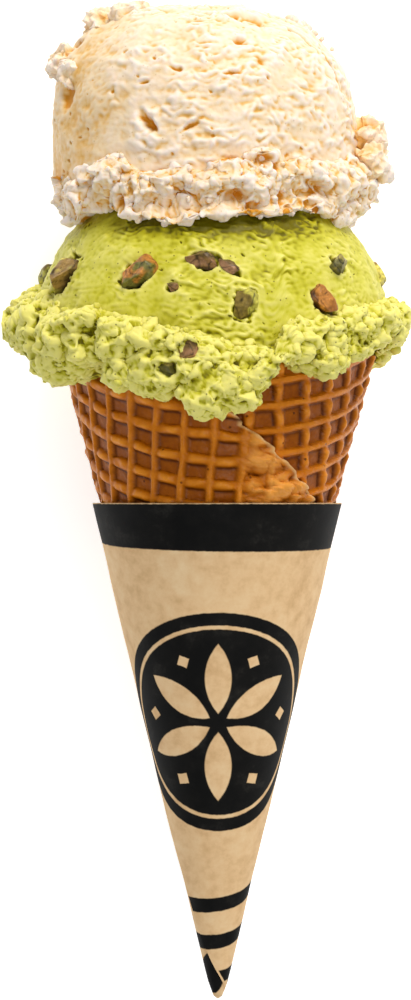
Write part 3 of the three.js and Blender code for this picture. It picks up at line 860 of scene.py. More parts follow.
# %% Torn layers
def scales(points, step, wide, seed):
    """Torn layers, `step` mm apart, with short ragged lips, `wide` mm across, towards the cone, 0 to 1."""
    uneven = 1.3 * noise(points / (wide, 1.5 * step, wide), 1.0, seed) + 0.1 * noise(points, 1.3, seed + 1)
    phase = points[..., 1] / step + uneven
    saw = phase - np.floor(phase)
    torn = smooth(noise(points / (2.4, 1, 2.4), 1.2 * step, seed + 2), -0.2, 0.2)
    return (1 - saw) * smooth(saw, 0, 0.3) * torn


print("torn layers on a ring:", scales(some_points, 2, 3.4, 0).mean().round(2), "high on average")


# %% Crumbled lumps
COARSE, MIDDLE, FINE = 5.8, 3, 1.5  # the sizes of lumps


def crumbled(skirt, shown, fine, seed):
    """Grows soft folded lumps on a skirt, in three sizes, each on the surface that the last one left."""
    lumps = knobs(skirt * (0.8, 1, 0.8), COARSE, seed)
    skirt = grow(skirt, shown * (2.5 * lumps - 1.4))
    skirt[..., 1] -= 0.9 * shown * lumps  # they lean towards the cone
    skirt = evened(skirt, 8)
    folds = crests(skirt * (0.65, 1.2, 0.65), 4.2, seed + 20)
    patches = smooth(noise(skirt, 6, seed + 60), -0.35, 0.3)
    lumps = (0.7 + 0.7 * patches) * knobs(skirt, MIDDLE, seed + 3)
    skirt = grow(skirt, shown * (lumps + 0.9 * folds - 0.95))
    skirt = evened(skirt, 6)
    skirt = skirt + 0.5 * shown[..., None] * wander(skirt, 2.0, seed + 40)
    patches = 0.35 + 0.65 * smooth(noise(skirt, 4, seed + 63), -0.2, 0.3)
    grains = 0.8 * knobs(skirt, FINE, seed + 6) + 0.4 * crests(skirt, 1.8, seed + 30) - 0.5
    skirt = grow(skirt, fine * shown * patches * grains)
    tips, own = cells(skirt, 2.2, seed + 70)
    spikes = 0.8 * (1 - smooth(tips, 0, 0.32)) * (own > 0.75)
    return grow(skirt, shown * (spikes + 0.06 * noise(skirt, 0.8, seed + 9)))


print("lumps of", COARSE, MIDDLE, "and", FINE, "mm")

# %% Air holes and pits
PIT_BALL = 31  # pits are placed on a ball of this radius
NEAR_PIT = 8  # and reach this far in and out from it


def pricked(dome, spread, size, rarity, deep, wide, seed):
    """Small holes where air was trapped, and a fine grain."""
    holes, own = cells(spread, size, seed)
    dome = grow(dome, -deep * (1 - smooth(holes, 0.08, wide)) * (own > rarity))
    return grow(dome, 0.06 * noise(dome, 0.9, seed + 1))


def on_ball(centre, far, azimuth, height, turn):
    """The way out of a ball at one of its points, and two ways along it there, turned by some degrees."""
    up = np.clip((height - centre[1]) / far, -1, 1)
    out = place(math.sqrt(1 - up ** 2), azimuth, up)
    sideways = place(1, azimuth + 90, 0)
    towards_top = np.cross(out, sideways)
    cos, sin = math.cos(math.radians(turn)), math.sin(math.radians(turn))
    return out, sideways * cos + towards_top * sin, towards_top * cos - sideways * sin


def pitted(grid, centre, pits):
    """Pulls cream out of pits with a raised lip. Each is azimuth, height, length, width, turn and depth."""
    for azimuth, height, long, wide, turn, depth in pits:
        out, along, across = on_ball(centre, PIT_BALL, azimuth, height, turn)
        away = grid - (centre + out * PIT_BALL) + 0.3 * wander(grid, 1.3, 130)
        u, v = away @ along / long * 2, away @ across / wide * 2
        lip = 0.3 * np.exp(-(u * u + (v - 1.5) ** 2) ** 1.2)
        deep = depth * (lip - np.exp(-(u * u + v * v) ** 1.5)) * (np.abs(away @ out) < NEAR_PIT)
        grid = grid + deep[..., None] * out
    return grid


def proud_rim(points, top, left, right):
    """1 just under the skirt's upper edge and 0 away from it, between two azimuths."""
    azimuth = np.degrees(np.arctan2(points[..., 0], points[..., 2]))
    reach = smooth(azimuth, left, left + 12) * (1 - smooth(azimuth, right - 8, right))
    return np.exp(-((points[..., 1] - top(azimuth) + 2) / 1.8) ** 2) * reach


print("out of a ball at its side:", on_ball(np.zeros(3), 10, 90, 0, 0)[0].round(2))

# %% Rings and columns
CROWDING = 0.35  # columns lie closer together on the side that faces up
FIRST_ROWS = 6


def column_turns(columns):
    turn = (np.arange(columns) / columns - 0.5) * math.tau
    return np.degrees(turn - CROWDING * np.sin(turn))


def ring(centre, azimuth, polar, far):
    """One ring of points, at an angle from the axis and a distance from the ball's centre."""
    return place(far * np.sin(polar), azimuth, far * np.cos(polar)) + centre


def closed(rows):
    """Rows as a grid whose first and last row are one point each."""
    grid = np.array(rows)
    grid[0], grid[-1] = grid[0].mean(0), grid[-1].mean(0)
    return grid


def angle_at(centre, dome, top, azimuth):
    """The angle from the axis at which a dome meets its skirt's upper edge."""
    return np.arccos((top(azimuth) - centre[1]) / dome(azimuth, np.full(len(azimuth), math.pi / 3)))


def dome_grid(centre, dome, top, columns, rows, hidden):
    """The dome as a grid from pole to pole. Few rows go to the share of it that something covers."""
    azimuth = column_turns(columns)
    last = 1.1 * angle_at(centre, dome, top, azimuth)
    shares = np.concatenate([np.linspace(0, hidden, FIRST_ROWS)[:-1], np.linspace(hidden, 1, rows)])
    grid = [ring(centre, azimuth, last * share, dome(azimuth, last * share)) for share in shares]
    for share in (0.03, 0.2, 0.5, 0.8, 1):
        far = dome(azimuth, last) * blend(0.9, 0.5, share)
        grid.append(ring(centre, azimuth, blend(last, math.pi, share), far))
    return closed(grid)


gaps = np.diff(column_turns(360))
print("360 columns lie", gaps.min().round(2), "to", gaps.max().round(2), "degrees apart")

# %% A skirt's outline and its grid
BULGE_ENDS = 0.72  # the share of a skirt's outline that runs down, before it turns in under itself


def skirt_outline(centre, dome, top_angle, foot, out, azimuth):
    """A skirt's outline at each azimuth: angles from the axis, and distances from the ball's centre."""
    foot_radius, foot_up = foot(azimuth) - np.array([[0], [centre[1]]])
    foot_angle, foot_far = np.arctan2(foot_radius, foot_up), np.hypot(foot_radius, foot_up)
    outline = [(top_angle, dome(azimuth, top_angle) - 1.2)]
    for share in np.linspace(0, BULGE_ENDS, 60):
        polar = blend(top_angle, foot_angle, share)
        swollen = math.sin(math.pi / 2 * min(1, share / 0.3))
        outline.append((polar, blend(dome(azimuth, polar), out(azimuth), swollen)))
    for turn in np.linspace(0.05, 1, 24) * math.pi / 2:
        polar = blend(top_angle, foot_angle, blend(BULGE_ENDS, 1, math.sin(turn)))
        outline.append((polar, blend(out(azimuth), foot_far, 1 - math.cos(turn))))
    outline.append((np.arctan2(foot_radius - 2.5, foot_up), np.hypot(foot_radius - 2.5, foot_up)))
    return np.array(outline).transpose(1, 0, 2)


def evenly_spaced(polars, fars, rows):
    """The same outlines, as rows that lie the same distance apart along each."""
    points = np.stack([fars * np.sin(polars), fars * np.cos(polars)], axis=-1)
    steps = np.linalg.norm(np.diff(points, axis=0), axis=-1)
    along = np.concatenate([np.zeros((1, steps.shape[1])), np.cumsum(steps, axis=0)])
    along /= along[-1]
    spots = np.linspace(0, 1, rows)
    return [np.array([np.interp(spots, *pair) for pair in zip(along.T, values.T)]).T
            for values in (polars, fars)]


def skirt_grid(centre, dome, top, foot, out, lift, columns, rows):
    """The skirt as a grid from pole to pole, its rows evenly along its outline, and where it shows."""
    azimuth = column_turns(columns)
    top_angle = angle_at(centre, dome, top, azimuth)
    polars, fars = evenly_spaced(*skirt_outline(centre, dome, top_angle, foot, out, azimuth), rows)
    inner = 0.6 * dome(azimuth, top_angle)
    grid = [ring(centre, azimuth, top_angle * share, inner) for share in (0, 0.5, 1)]
    start = len(grid)
    grid += [ring(centre, azimuth, polar, far) for polar, far in zip(polars, fars)]
    stop = len(grid)
    for share in (0.15, 0.5, 1):
        far = fars[-1] * blend(0.8, 0.3, share)
        grid.append(ring(centre, azimuth, blend(polars[-1], math.pi, share), far))
    grid = closed(grid)
    shown = np.zeros(grid.shape[:2])
    shown[start + 1:stop - 2] = 1
    shown = averaged(shown, 3)
    outwards = grid - centre
    outwards /= np.maximum(np.linalg.norm(outwards, axis=-1, keepdims=True), 1e-9)
    return grid + outwards * (lift(grid) * shown)[..., None], shown


# %% Kept inside the solids' box
BOX_LOW = np.array(cad_box[0]) / MM - AXIS
BOX_HIGH = np.array(cad_box[1]) / MM - AXIS
BOX_EDGE = 0.8  # how near a side of the box the squeezing starts
BOX_LOW[2] = FLOOR - BOX_EDGE
print("box round the axis, mm:", BOX_LOW.round(1), BOX_HIGH.round(1))


def pressed(places):
    """Keeps points above the table, and inside the solids' box."""
    squeezed = places.copy()
    squeezed[..., 2] = np.maximum(squeezed[..., 2], FLOOR)
    for k in range(3):
        for sign, limit in ((1, BOX_HIGH[k]), (-1, -BOX_LOW[k])):
            beyond = sign * squeezed[..., k] - (limit - BOX_EDGE)
            past = beyond - BOX_EDGE * (1 - np.exp(-beyond / BOX_EDGE))
            squeezed[..., k] -= sign * np.where(beyond > 0, past, 0)
    return squeezed


def skin_of(name, grid, crease, shade):
    """A finished grid as a piece. How deep each point lies in narrow and in wide folds is kept as painted
    shade in the hollows and painted light on the bumps, less `shade`, a painted shade over the whole piece.
    """
    narrow = np.maximum(depth_of(grid, 5), -0.3)
    relief = np.where(narrow < 0, crease, 0.8) * narrow
    return wrapped(name, grid, relief=relief, fold=depth_of(grid, 90) - shade)


# %% [markdown]
# ## Pistachio scoop
# The lower ball's dome is mostly covered; its skirt hangs over the wafer's rim, lowest in front where
# it drips, with a thick lobe on the left. Chopped pistachios lie in small hollows.

# %% The pistachio scoop's size and skirt
FLAT = (0.6, 1, 0.6)  # what is worked out from points squeezed so is wider than it is high
PISTACHIO = np.array([-1.2, 141.9, 0])
PISTACHIO_RADIUS = 38.2
pistachio_top = round_the_axis([
    (-180, 149), (-130, 153), (-95, 153), (-66, 151.4), (-54, 146.8), (-38, 147.7), (-27, 145.5), (-8, 142.6),
    (8, 140.2), (18, 138.3), (25, 144.2), (40, 145.9), (65, 149.2), (88, 150.4), (130, 150)])
pistachio_foot = round_the_axis([
    (-180, 131), (-150, 134.5), (-125, 133.5), (-100, 139.5), (-84, 139.8), (-75, 139), (-68, 132),
    (-60, 131.2), (-50, 132.2), (-36, 134), (-28, 129.8), (-18, 127.3), (-12, 128.2), (-2, 124.4), (9, 127),
    (14, 127.4), (21, 136.2), (37, 131.8), (48, 136), (70, 139.4), (95, 140.5), (120, 137), (150, 130)])
pistachio_out = round_the_axis([
    (-180, 38.6), (-130, 40.5), (-92, 42.4), (-60, 41.2), (-20, 42), (10, 41.6), (24, 39.6), (45, 41),
    (88, 39.4), (135, 39)])
print("pistachio ball:", 2 * PISTACHIO_RADIUS, "mm, its skirt hangs to", pistachio_foot(0).round(1))

# %% Where the nuts lie
NUTS = [  # azimuth, height, length, width, turn, how far out past the dome, and its look
    (-61, 154.8, 12, 6.8, 70, 0.8, "skin"), (-26, 153.8, 8.2, 5.6, 35, 0, "red"),
    (-2.5, 156.7, 6.6, 3.8, -8, 0, "brown"), (-12.5, 150.9, 2.6, 2, 0, 0, "brown"),
    (6, 154.7, 4.6, 2.2, -35, 0, "brown"), (9.7, 147.3, 7.6, 4.8, 75, 0, "green"),
    (47, 156.3, 5.6, 4.2, 12, 0.7, "dark"), (37, 148.4, 7.6, 3.8, -48, 0, "bark"),
    (-6.8, 138.6, 5.0, 4, 20, 4.4, "brown"), (-12.4, 135.3, 5.0, 3.4, -10, 4.6, "dark")]
BACK_NUTS = 9
draw = seeded_draws(41)
for k in range(BACK_NUTS):
    sizes = [blend(*span, draw()) for span in ((150, 161), (4.5, 8.5), (3, 5), (-80, 80))]
    NUTS.append((75 + 200 * (k + 0.5) / BACK_NUTS, *sizes, 0, ("skin", "red", "green")[k % 3]))
print("nut pieces:", len(NUTS))

# %% Hollows for the nuts
HOLLOW = 1.4  # how deep the cream is pushed in round a nut
NEAR_SIDE = 5  # a hollow reaches this far in, and not to the far side of the ball


def nut_frame(azimuth, height, wide, turn, proud):
    """Where a nut's middle is, and its directions out of the scoop, along and across."""
    out, along, across = on_ball(PISTACHIO, PISTACHIO_RADIUS, azimuth, height, turn)
    return PISTACHIO + out * (PISTACHIO_RADIUS + proud - wide * 0.3), out, along, across


def hollowed(grid):
    """Sinks a grid round each nut, into a hollow with steep sides that cream partly fills again."""
    for azimuth, height, long, wide, turn, proud, _ in NUTS:
        middle, out, along, across = nut_frame(azimuth, height, wide, turn, proud)
        away = grid - middle
        away[..., 1] += 0.35  # its gap opens towards the cone
        spread = np.hypot(away @ along / long * 2, away @ across / wide * 2)
        spread = spread + 0.3 * noise(grid, 2.6, 90) + 0.2 * noise(grid, 1.1, 91)
        sunk = HOLLOW * (1 - smooth(spread, 0.72, 0.98)) * (np.abs(away @ out) < NEAR_SIDE)
        grid = grid - sunk[..., None] * out
    return grid


print("first nut's middle, mm:", nut_frame(*NUTS[0][:2], *NUTS[0][3:6])[0].round(1))


# %% Its lumps and its lower edge
def pistachio_lump_middle(turn, share):
    azimuth = 360 * turn
    height = blend(pistachio_foot(azimuth) + 1, pistachio_top(azimuth) - 2, share)
    far, up = pistachio_out(azimuth) - 1, height - PISTACHIO[1]
    return place(math.sqrt(far ** 2 - up ** 2), azimuth, height) + (PISTACHIO[0], 0, 0)


pistachio_lumps = lump_field(7, 96, pistachio_lump_middle, 3, 5.4)
HANG = 1.9  # how far lumps hang below the ring that they grow on


def pistachio_foot_ring(azimuth):
    height = pistachio_foot(azimuth) + HANG
    return wafer_radius(height) + 4.4, height


def pistachio_ball(azimuth, polar):
    return np.full(len(azimuth), PISTACHIO_RADIUS - 0.4)


print("its lower edge in front, radius and height:", np.round(pistachio_foot_ring(0), 1))

# %% Its dome
dome = dome_grid(PISTACHIO, pistachio_ball, pistachio_top, int(470 * DETAIL), int(192 * DETAIL), 0.3)
wrinkled = 0.3 + 0.7 * np.exp(-((dome[..., 0] - 4) / 19) ** 2) * smooth(dome[..., 2], 0, 20)
wrinkled *= 0.35 + 0.65 * smooth(noise(dome, 8, 59), -0.35, 0.3)
lips = scales(dome, 1.9, 3.4, 62) + 0.5 * scales(dome, 1.2, 2.4, 64) + 0.25 * crests(dome * FLAT, 1.6, 65)
lifted = 0.5 * noise(dome, 9, 60) + 0.22 * noise(dome, 3.5, 61) + wrinkled * lips
dome = hollowed(grow(dome, averaged(lifted, 1) - 0.5))
dome = pricked(dome, drift(dome, 1.2, 0.6, 66) / (1.5, 1, 1.5), 1.5, 0.72, 0.6, 0.2, 67)
off_axis = np.abs(dome[..., 0])
# painted shadow of the vanilla skirt on the pistachio dome just under it, mostly in front
painted_shadow_under_vanilla = 3 * smooth(dome[..., 1], 158.5, 164.5) * (1 - 0.8 * smooth(off_axis, 12, 24))
pistachio_dome = skin_of("pistachio_dome", pressed(dome), 2.2, painted_shadow_under_vanilla)


# %% Its skirt
def pistachio_swell(points):
    """How far the skirt's large forms stand out: lumps, a proud rim in front, a groove on the left."""
    azimuth = np.degrees(np.arctan2(points[..., 0], points[..., 2]))
    groove = np.exp(-((azimuth + 62) / 3) ** 2) * smooth(points[..., 1], 134, 138)
    rim = proud_rim(points, pistachio_top, -62, 26)
    return 0.5 * pistachio_lumps(drift(points, 4, 1, 78)) - 0.8 + 0.9 * rim - 2.6 * groove


skirt, shown = skirt_grid(PISTACHIO, pistachio_ball, pistachio_top, pistachio_foot_ring, pistachio_out,
                          pistachio_swell, int(690 * DETAIL), int(134 * DETAIL))
skirt = pressed(hollowed(crumbled(skirt, shown, 1, 70)))
# its painted shading is lifted as a whole, so the skirt is painted lighter than the dome
pistachio_skirt = skin_of("pistachio_skirt", skirt, 1.7, -0.6)


# %% Loose crumbs that cling to a skirt
def crumbs(name, spots, outs, sizes, seed):
    """Small ragged lumps, each sunk partly into what it lies on, joined into one piece."""
    draws = np.random.default_rng(seed)
    only()
    bpy.ops.mesh.primitive_ico_sphere_add(subdivisions=3, radius=1)
    first, ball = named(name)
    copies = [first]
    for _ in spots[1:]:
        copy = first.copy()
        copy.data = first.data.copy()
        bpy.context.scene.collection.objects.link(copy)
        copies.append(copy)
    for k, (copy, spot, out, size) in enumerate(zip(copies, spots, outs, sizes)):
        turned = np.linalg.qr(draws.normal(size=(3, 3)))[0]
        shape = ball @ np.diag(draws.uniform(0.7, 1.15, 3)) @ turned
        apart = shape + 9 * k
        shape *= (0.72 + 0.5 * knobs(apart, 0.9, seed) + 0.2 * noise(apart, 0.45, seed + 1))[:, None]
        move_corners(copy, to_frame(pressed(spot + size * shape)))
        paint(copy, "relief", np.full(len(shape), 0.04))
        # painted light on the side that faces out of the skirt, painted shade on the side that faces in
        paint(copy, "fold", 0.7 * (shape @ out) * size)
    piece = joined(name, copies)
    bpy.ops.object.shade_smooth()
    return piece


def strewn(grid, shown, seed, count=90):
    """Places for crumbs on a skirt's grid, most of them where it stands out."""
    draws = np.random.default_rng(seed)
    out = facing(grid)
    weight = (shown > 0.98) * np.exp(1.1 * depth_of(grid, 90)) * (0.25 + smooth(out[..., 2], -0.9, 0.2))
    weight *= np.abs(grid - np.roll(grid, 1, 1)).sum(-1)
    found = draws.choice(weight.size, count, replace=False, p=(weight / weight.sum()).ravel())
    sizes = blend(0.45, 1.1, draws.random(count) ** 2)
    outs = out.reshape(-1, 3)[found]
    return grid.reshape(-1, 3)[found] + outs * (0.1 * sizes)[:, None], outs, sizes


pistachio_crumbs = crumbs("pistachio_crumbs", *strewn(skirt, shown, 301), 302)

# %% [markdown]
# ## Churned pistachio ice cream
# Ground pistachio makes the cream yellow green. Light goes a few millimetres into it and comes out again, so
# its lumps glow. Its creases are painted a deeper, more saturated green and its bumps paler, as painted shade
# and painted light. Its surface is dull and slightly wet, with fine dark specks of nut skin.


# %% Ice cream colours
def ice_cream(name, stops, speck, speck_share, glow, rough):
    """A soft, light-scattering cream, whose colour is painted deeper in its folds and paler on its bumps, as
    painted shade and painted light.
    """
    material = new_material(name)
    fine_fold, wide_fold = (add("Attribute", attribute_name=fold, out="Fac") for fold in ("relief", "fold"))
    here = add("TexCoord", out="Object")
    drifted = add("TexNoise", Vector=here, Scale=1 / (6 * MM), Detail=3)
    # painted shade in folds and creases, and painted light on bumps
    level = add("Math MULTIPLY_ADD", wide_fold, 0.22, 0.5)
    level = add("Math MULTIPLY_ADD", fine_fold, 1.2, level)
    level = add("Math ADD", level, add("Math MULTIPLY_ADD", drifted, 0.3, -0.15))
    dots = add("TexVoronoi", Vector=here, Scale=1 / (1.6 * MM), out="Distance")
    dots = add("Math SUBTRACT", 1, add("MapRange", dots, 0.07, 0.13))
    colour = add("Mix", add("Math MULTIPLY", dots, speck_share), data_type="RGBA",
                 n6=add("ValToRGB", level, stops=stops), n7=speck, out=2)
    crystals = add("TexNoise", Vector=here, Scale=1 / (0.5 * MM))  # real ones are too fine to show
    finish_material(Base_Color=colour, Roughness=rough, Subsurface_Weight=0.25, Subsurface_Radius=glow,
                    Subsurface_Scale=0.0007, Specular_IOR_Level=0.35, IOR=1.36,
                    Normal=add("Bump", Height=crystals, Strength=0.22, Distance=0.0002))
    return material


pistachio_cream = ice_cream("churned_pistachio_ice_cream",
                            [(0, "#6C6400"), (0.24, "#A49C06"), (0.46, "#CAC436"), (0.8, "#ECE47E")],
                            "#5A4A08", 0.8, (1, 0.9, 0.3), 0.5)
for piece in (pistachio_dome, pistachio_skirt, pistachio_crumbs):
    dress(piece, pistachio_cream, "pistachio_scoop")

# %% [markdown]
# ## Chopped pistachios
# A pistachio splits into angular chunks: green flesh inside, purple brown skin outside. Each chunk is
# a ball whose sides are cut flat by a few planes, and its colours are kept on its points.

# %% The chunks
NUT_COLOURS = {
    "skin": ("#9C7C42", "#D4C65A"), "red": ("#6E6A2C", "#BC7C34"), "bark": ("#9C642A", "#C4823C"),
    "brown": ("#9C7450", "#745A34"), "green": ("#BCB44C", "#806C30"), "dark": ("#66602C", "#A0904A")}
CUTS = 9
chunks = []
for number, (azimuth, height, long, wide, turn, proud, look) in enumerate(NUTS):
    only()
    bpy.ops.mesh.primitive_ico_sphere_add(subdivisions=5, radius=1)
    chunk, ball = named("nut_%02d" % number)
    draws = np.random.default_rng(100 + number)
    for _ in range(CUTS):
        side = draws.normal(size=3)
        side /= np.linalg.norm(side)
        ball -= np.maximum(ball @ side - draws.uniform(0.45, 0.78), 0)[:, None] * side
    ball *= 1.22  # about what the cuts took off
    spun = ball * (long / 2, wide / 2, wide / 2)
    apart = spun + number * 31
    spun += (0.3 * noise(apart, 2.2, 80) + 0.12 * noise(apart, 0.9, 84))[:, None] * ball
    middle, out, along, across = nut_frame(azimuth, height, wide, turn, proud)
    move_corners(chunk, to_frame(pressed(middle + spun @ np.array([along, across, out]))))
    skin, flesh = (np.array(linear(colour)) for colour in NUT_COLOURS[look])
    apart = spun + number * 5
    share = smooth(spun[:, 1] / wide + 0.6 * noise(spun + number * 17, 2.2, 81), -0.2, 0.04)
    cracks = smooth(np.abs(noise(spun + number * 13, 2.6, 83)), 0.02, 0.1)
    # painted shade: each chunk darker lower down, where it sinks into its hollow in the cream
    edges = smooth(spun[:, 2] / wide + 0.12 * noise(apart, 1.5, 85), -0.08, 0.14)
    shade = (1 + 0.25 * noise(apart, 0.8, 82)) * blend(0.25, 1, cracks) * blend(0.25, 1, edges)
    tint = blend(skin, flesh, share[:, None]) * shade[:, None]
    layer = chunk.data.color_attributes.new("nut_tint", "FLOAT_COLOR", "POINT")
    layer.data.foreach_set("color", np.clip(tint, 0, 1).astype(np.float32).ravel())
    chunks.append(chunk)
nuts = joined("nut_pieces", chunks)
bpy.ops.object.shade_smooth_by_angle(angle=math.radians(25))

# %% Roasted nut
roasted = new_material("roasted_pistachio_kernel")
veins = add("TexNoise", Vector=add("TexCoord", out="Object"), Scale=1 / (0.7 * MM), Detail=3)
shade = add("MapRange", veins, 0.32, 0.6, 0.68, 1.12)
tint = add("Attribute", attribute_name="nut_tint", out="Color")
finish_material(Base_Color=add("VectorMath SCALE", tint, Scale=shade), Roughness=0.42,
                Specular_IOR_Level=0.35, Normal=add("Bump", Height=veins, Strength=0.5, Distance=0.0003))
dress(nuts, roasted, "pistachio_scoop")

# %% [markdown]
# ## Vanilla scoop
# The upper ball was pulled along the tub's wall, so its left side is flat and its shoulder square,
# with torn curls standing on it. Its centre is wrinkled all over, with a few deep pits.

# %% Its size and shape
VANILLA = np.array([-2.8, 183, -1.5])
VANILLA_SIDE = 32.3
VANILLA_TOP = 28.9
vanilla_top = round_the_axis([
    (-180, 178), (-140, 176), (-90, 175.6), (-50, 175.6), (-35, 178.2), (-24, 174.6), (0, 175.3), (10, 176.6),
    (22, 179.8), (32, 177.3), (55, 177), (70, 179.3), (90, 186), (110, 181), (150, 176.5)])
vanilla_foot = round_the_axis([
    (-180, 165), (-150, 167), (-115, 167), (-85, 170.2), (-60, 165.4), (-46, 167), (-22, 164.8),
    (-11, 162.3), (2, 165), (28, 164.8), (43, 166.2), (58, 165), (84, 169), (120, 165.5), (150, 167)])
vanilla_out = round_the_axis([
    (-180, 36.2), (-130, 34.4), (-90, 31.2), (-45, 33.8), (0, 34.6), (45, 35), (86, 35.6), (110, 35.5),
    (150, 35.6)])
squareness = round_the_axis([
    (-180, 2.3), (-135, 2.7), (-90, 3.2), (-50, 2.7), (0, 2.3), (90, 2.5), (135, 2.3)])
CLUMPS = [  # x, height, z and radius
    (-23.4, 206.2, 4, 5), (-17.6, 207.2, 8, 4.4), (-31, 199.2, 3, 4.2), (-29.8, 196.4, 9, 3.2),
    (3.4, 207.2, 6, 3.6), (31.2, 184.6, 3, 3.8), (32, 178.5, 6, 4)]


def vanilla_ball(azimuth, polar):
    power = squareness(azimuth)
    across, up = np.abs(np.sin(polar)) / VANILLA_SIDE, np.abs(np.cos(polar)) / VANILLA_TOP
    return (across ** power + up ** power) ** (-1 / power)


def vanilla_lump_middle(turn, share):
    azimuth = 360 * turn
    height = blend(vanilla_foot(azimuth) + 1, vanilla_top(azimuth) - 2, share)
    return place(vanilla_out(azimuth) - 2.4, azimuth, height) + (VANILLA[0], 0, VANILLA[2])


def vanilla_foot_ring(azimuth):
    """The skirt's lower edge, just clear of the ball below it, whose middle is off this one's."""
    height, turn = vanilla_foot(azimuth) + 0.8 * HANG, np.radians(azimuth)
    aside = (PISTACHIO[0] - VANILLA[0]) * np.sin(turn) + (PISTACHIO[2] - VANILLA[2]) * np.cos(turn)
    return np.sqrt((PISTACHIO_RADIUS + 1.8) ** 2 - (height - PISTACHIO[1]) ** 2) + aside, height


vanilla_lumps = lump_field(23, 84, vanilla_lump_middle, 2.6, 4.6)
print("vanilla ball:", 2 * VANILLA_SIDE, "mm wide, its top at", VANILLA[1] + VANILLA_TOP)

# %% Torn layers and pits
PITS = [  # azimuth, height, length, width, turn and depth
    (-21, 184.2, 5.2, 2.0, -50, 2.4), (15.6, 200.5, 2.8, 1.9, 0, 1.5), (21.5, 196, 2.8, 1.8, 10, 0.8),
    (-72, 201, 4, 2.4, 20, 1.8), (-65, 191.5, 4.5, 5.5, 0, 1.6), (-5, 183.2, 5, 0.9, 35, 0.9),
    (10, 193.4, 4.2, 0.9, 10, 0.9), (-23, 192, 2.2, 0.9, 15, 0.8), (-11, 194.5, 2.6, 0.9, -15, 0.8),
    (27, 206.5, 9, 3.2, -15, 1.3), (52, 203, 9, 0.8, -62, 0.9), (62, 196, 8, 0.7, -75, 0.8)]
SKIRT_PITS = [
    (21, 177, 3.4, 2.6, 20, 2.8), (10.3, 171, 3.6, 2.6, 0, 2.8), (-31.5, 170.3, 3, 3, 30, 2.2),
    (-44, 174, 5, 1.6, 30, 1.5), (44, 173, 5, 1.8, -20, 1.8)]
dome = dome_grid(VANILLA, vanilla_ball, vanilla_top, int(440 * DETAIL), int(208 * DETAIL), 0.02)
wrinkled = 0.3 + 0.7 * smooth(dome[..., 0], -26, -12)
wrinkled *= 0.35 + 0.65 * smooth(noise(dome, 8, 109), -0.4, 0.25)
lips = 0.95 * scales(dome, 1.8, 3.2, 112) + 0.5 * scales(dome, 1.1, 2.2, 114)
lips += 0.3 * crests(dome * FLAT, 1.6, 116)
lifted = 0.6 * noise(dome, 10, 110) + 0.25 * noise(dome, 4, 111) + wrinkled * lips
torn_up = 1.5 * knobs(dome, 2.8, 220) + 0.6 * crests(dome, 2.2, 221) - 0.4
for *middle, radius in CLUMPS:  # the dome is torn up where a clump is rooted in it
    lifted += np.exp(-np.sum((dome - middle) ** 2, axis=-1) / radius ** 2) * torn_up
dome = pitted(grow(dome, averaged(lifted, 1) - 0.6), VANILLA, PITS)
dome = pricked(dome, drift(dome, 1.5, 0.5, 117), 2.4, 0.75, 0.45, 0.22, 118)
# painted shade: the vanilla dome's left side darker, away from the lamps
painted_left_shade = 1.2 * smooth(-dome[..., 0], 14, 32)
vanilla_dome = skin_of("vanilla_dome", pressed(dome), 1.7, painted_left_shade)


# %% The skirt and its crumbs
def vanilla_swell(points):
    """How far the skirt's large forms stand out: lumps, and a proud upper rim in front."""
    return 0.5 * vanilla_lumps(drift(points, 4, 1, 118)) - 0.7 + 0.9 * proud_rim(points, vanilla_top, -50, 18)


skirt, shown = skirt_grid(VANILLA, vanilla_ball, vanilla_top, vanilla_foot_ring, vanilla_out,
                          vanilla_swell, int(640 * DETAIL), int(140 * DETAIL))
skirt = pressed(pitted(crumbled(skirt, shown, 0.65, 120), VANILLA, SKIRT_PITS))
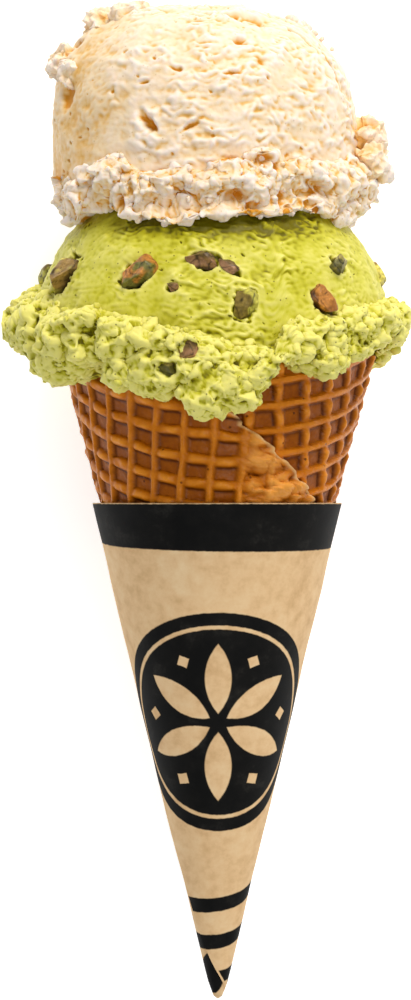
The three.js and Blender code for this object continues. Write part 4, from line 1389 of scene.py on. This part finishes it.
# its painted shading is lowered a little as a whole, a light painted shade over the skirt
vanilla_skirt = skin_of("vanilla_skirt", skirt, 1.7, 0.3)
SHOULDER = np.array([0.6, 0.63, 0.69, 0.73, 0.78, 0.84, 0.93])  # where flakes are torn up, from the axis
flake_outs = np.stack([np.sin(SHOULDER), np.cos(SHOULDER), np.full(len(SHOULDER), 0.1)], axis=-1)
flakes = VANILLA + flake_outs * (vanilla_ball(90, SHOULDER) + 0.2)[:, None]
flake_sizes = np.linspace(1.1, 0.5, len(SHOULDER))
strewn_all = zip(strewn(skirt, shown, 311), (flakes, flake_outs, flake_sizes))
vanilla_crumbs = crumbs("vanilla_crumbs", *(np.concatenate(pair) for pair in strewn_all), 312)

# %% Torn clumps
torn = []
for number, (*middle, radius) in enumerate(CLUMPS):
    only()
    bpy.ops.mesh.primitive_ico_sphere_add(subdivisions=6 if DETAIL == 1 else 4, radius=1)
    clump, ball = named("clump_%d" % number)
    out = (middle - VANILLA) / np.linalg.norm(middle - VANILLA)
    spots = middle + ball * radius * 0.9
    spots += 1.1 * wander(spots, 3.4, 210)
    rise = 1.7 * knobs(spots, 3.0, 220) + 0.9 * crests(spots, 3.2, 223) - 1.2
    spots += rise[:, None] * ball
    fine = 0.6 * knobs(spots, 1.5, 226) - 0.2
    spots += fine[:, None] * ball + 0.35 * wander(spots, 1.2, 230)
    move_corners(clump, to_frame(pressed(spots)))
    # painted light on lumps and on the side that faces away from the ball, painted shade in the hollows
    # between lumps
    paint(clump, "relief", 0.5 * (fine - 0.2))
    paint(clump, "fold", 1.1 * rise - 0.6 + 0.7 * ((spots - middle) @ out) / radius)
    torn.append(clump)
vanilla_clumps = joined("vanilla_clumps", torn)
bpy.ops.object.shade_smooth()

# %% [markdown]
# ## Churned vanilla ice cream
# Egg yolk and cream give a warm ivory. Its tops are painted almost white and its creases a warm yellow, as
# painted light and painted shade for the light that a crease traps.

# %% Vanilla colours
vanilla_cream = ice_cream("churned_vanilla_ice_cream",
                          [(0, "#D89224"), (0.2, "#E8B868"), (0.42, "#F1D7AF"), (0.72, "#F9E9DB")],
                          "#C09A5A", 0.5, (1, 0.7, 0.35), 0.45)
for piece in (vanilla_dome, vanilla_skirt, vanilla_crumbs, vanilla_clumps):
    dress(piece, vanilla_cream, "vanilla_scoop")

# %% Sizes and the end
bpy.context.view_layer.update()
print("cad   ", [[round(v / MM, 2) for v in corner] for corner in cad_box])
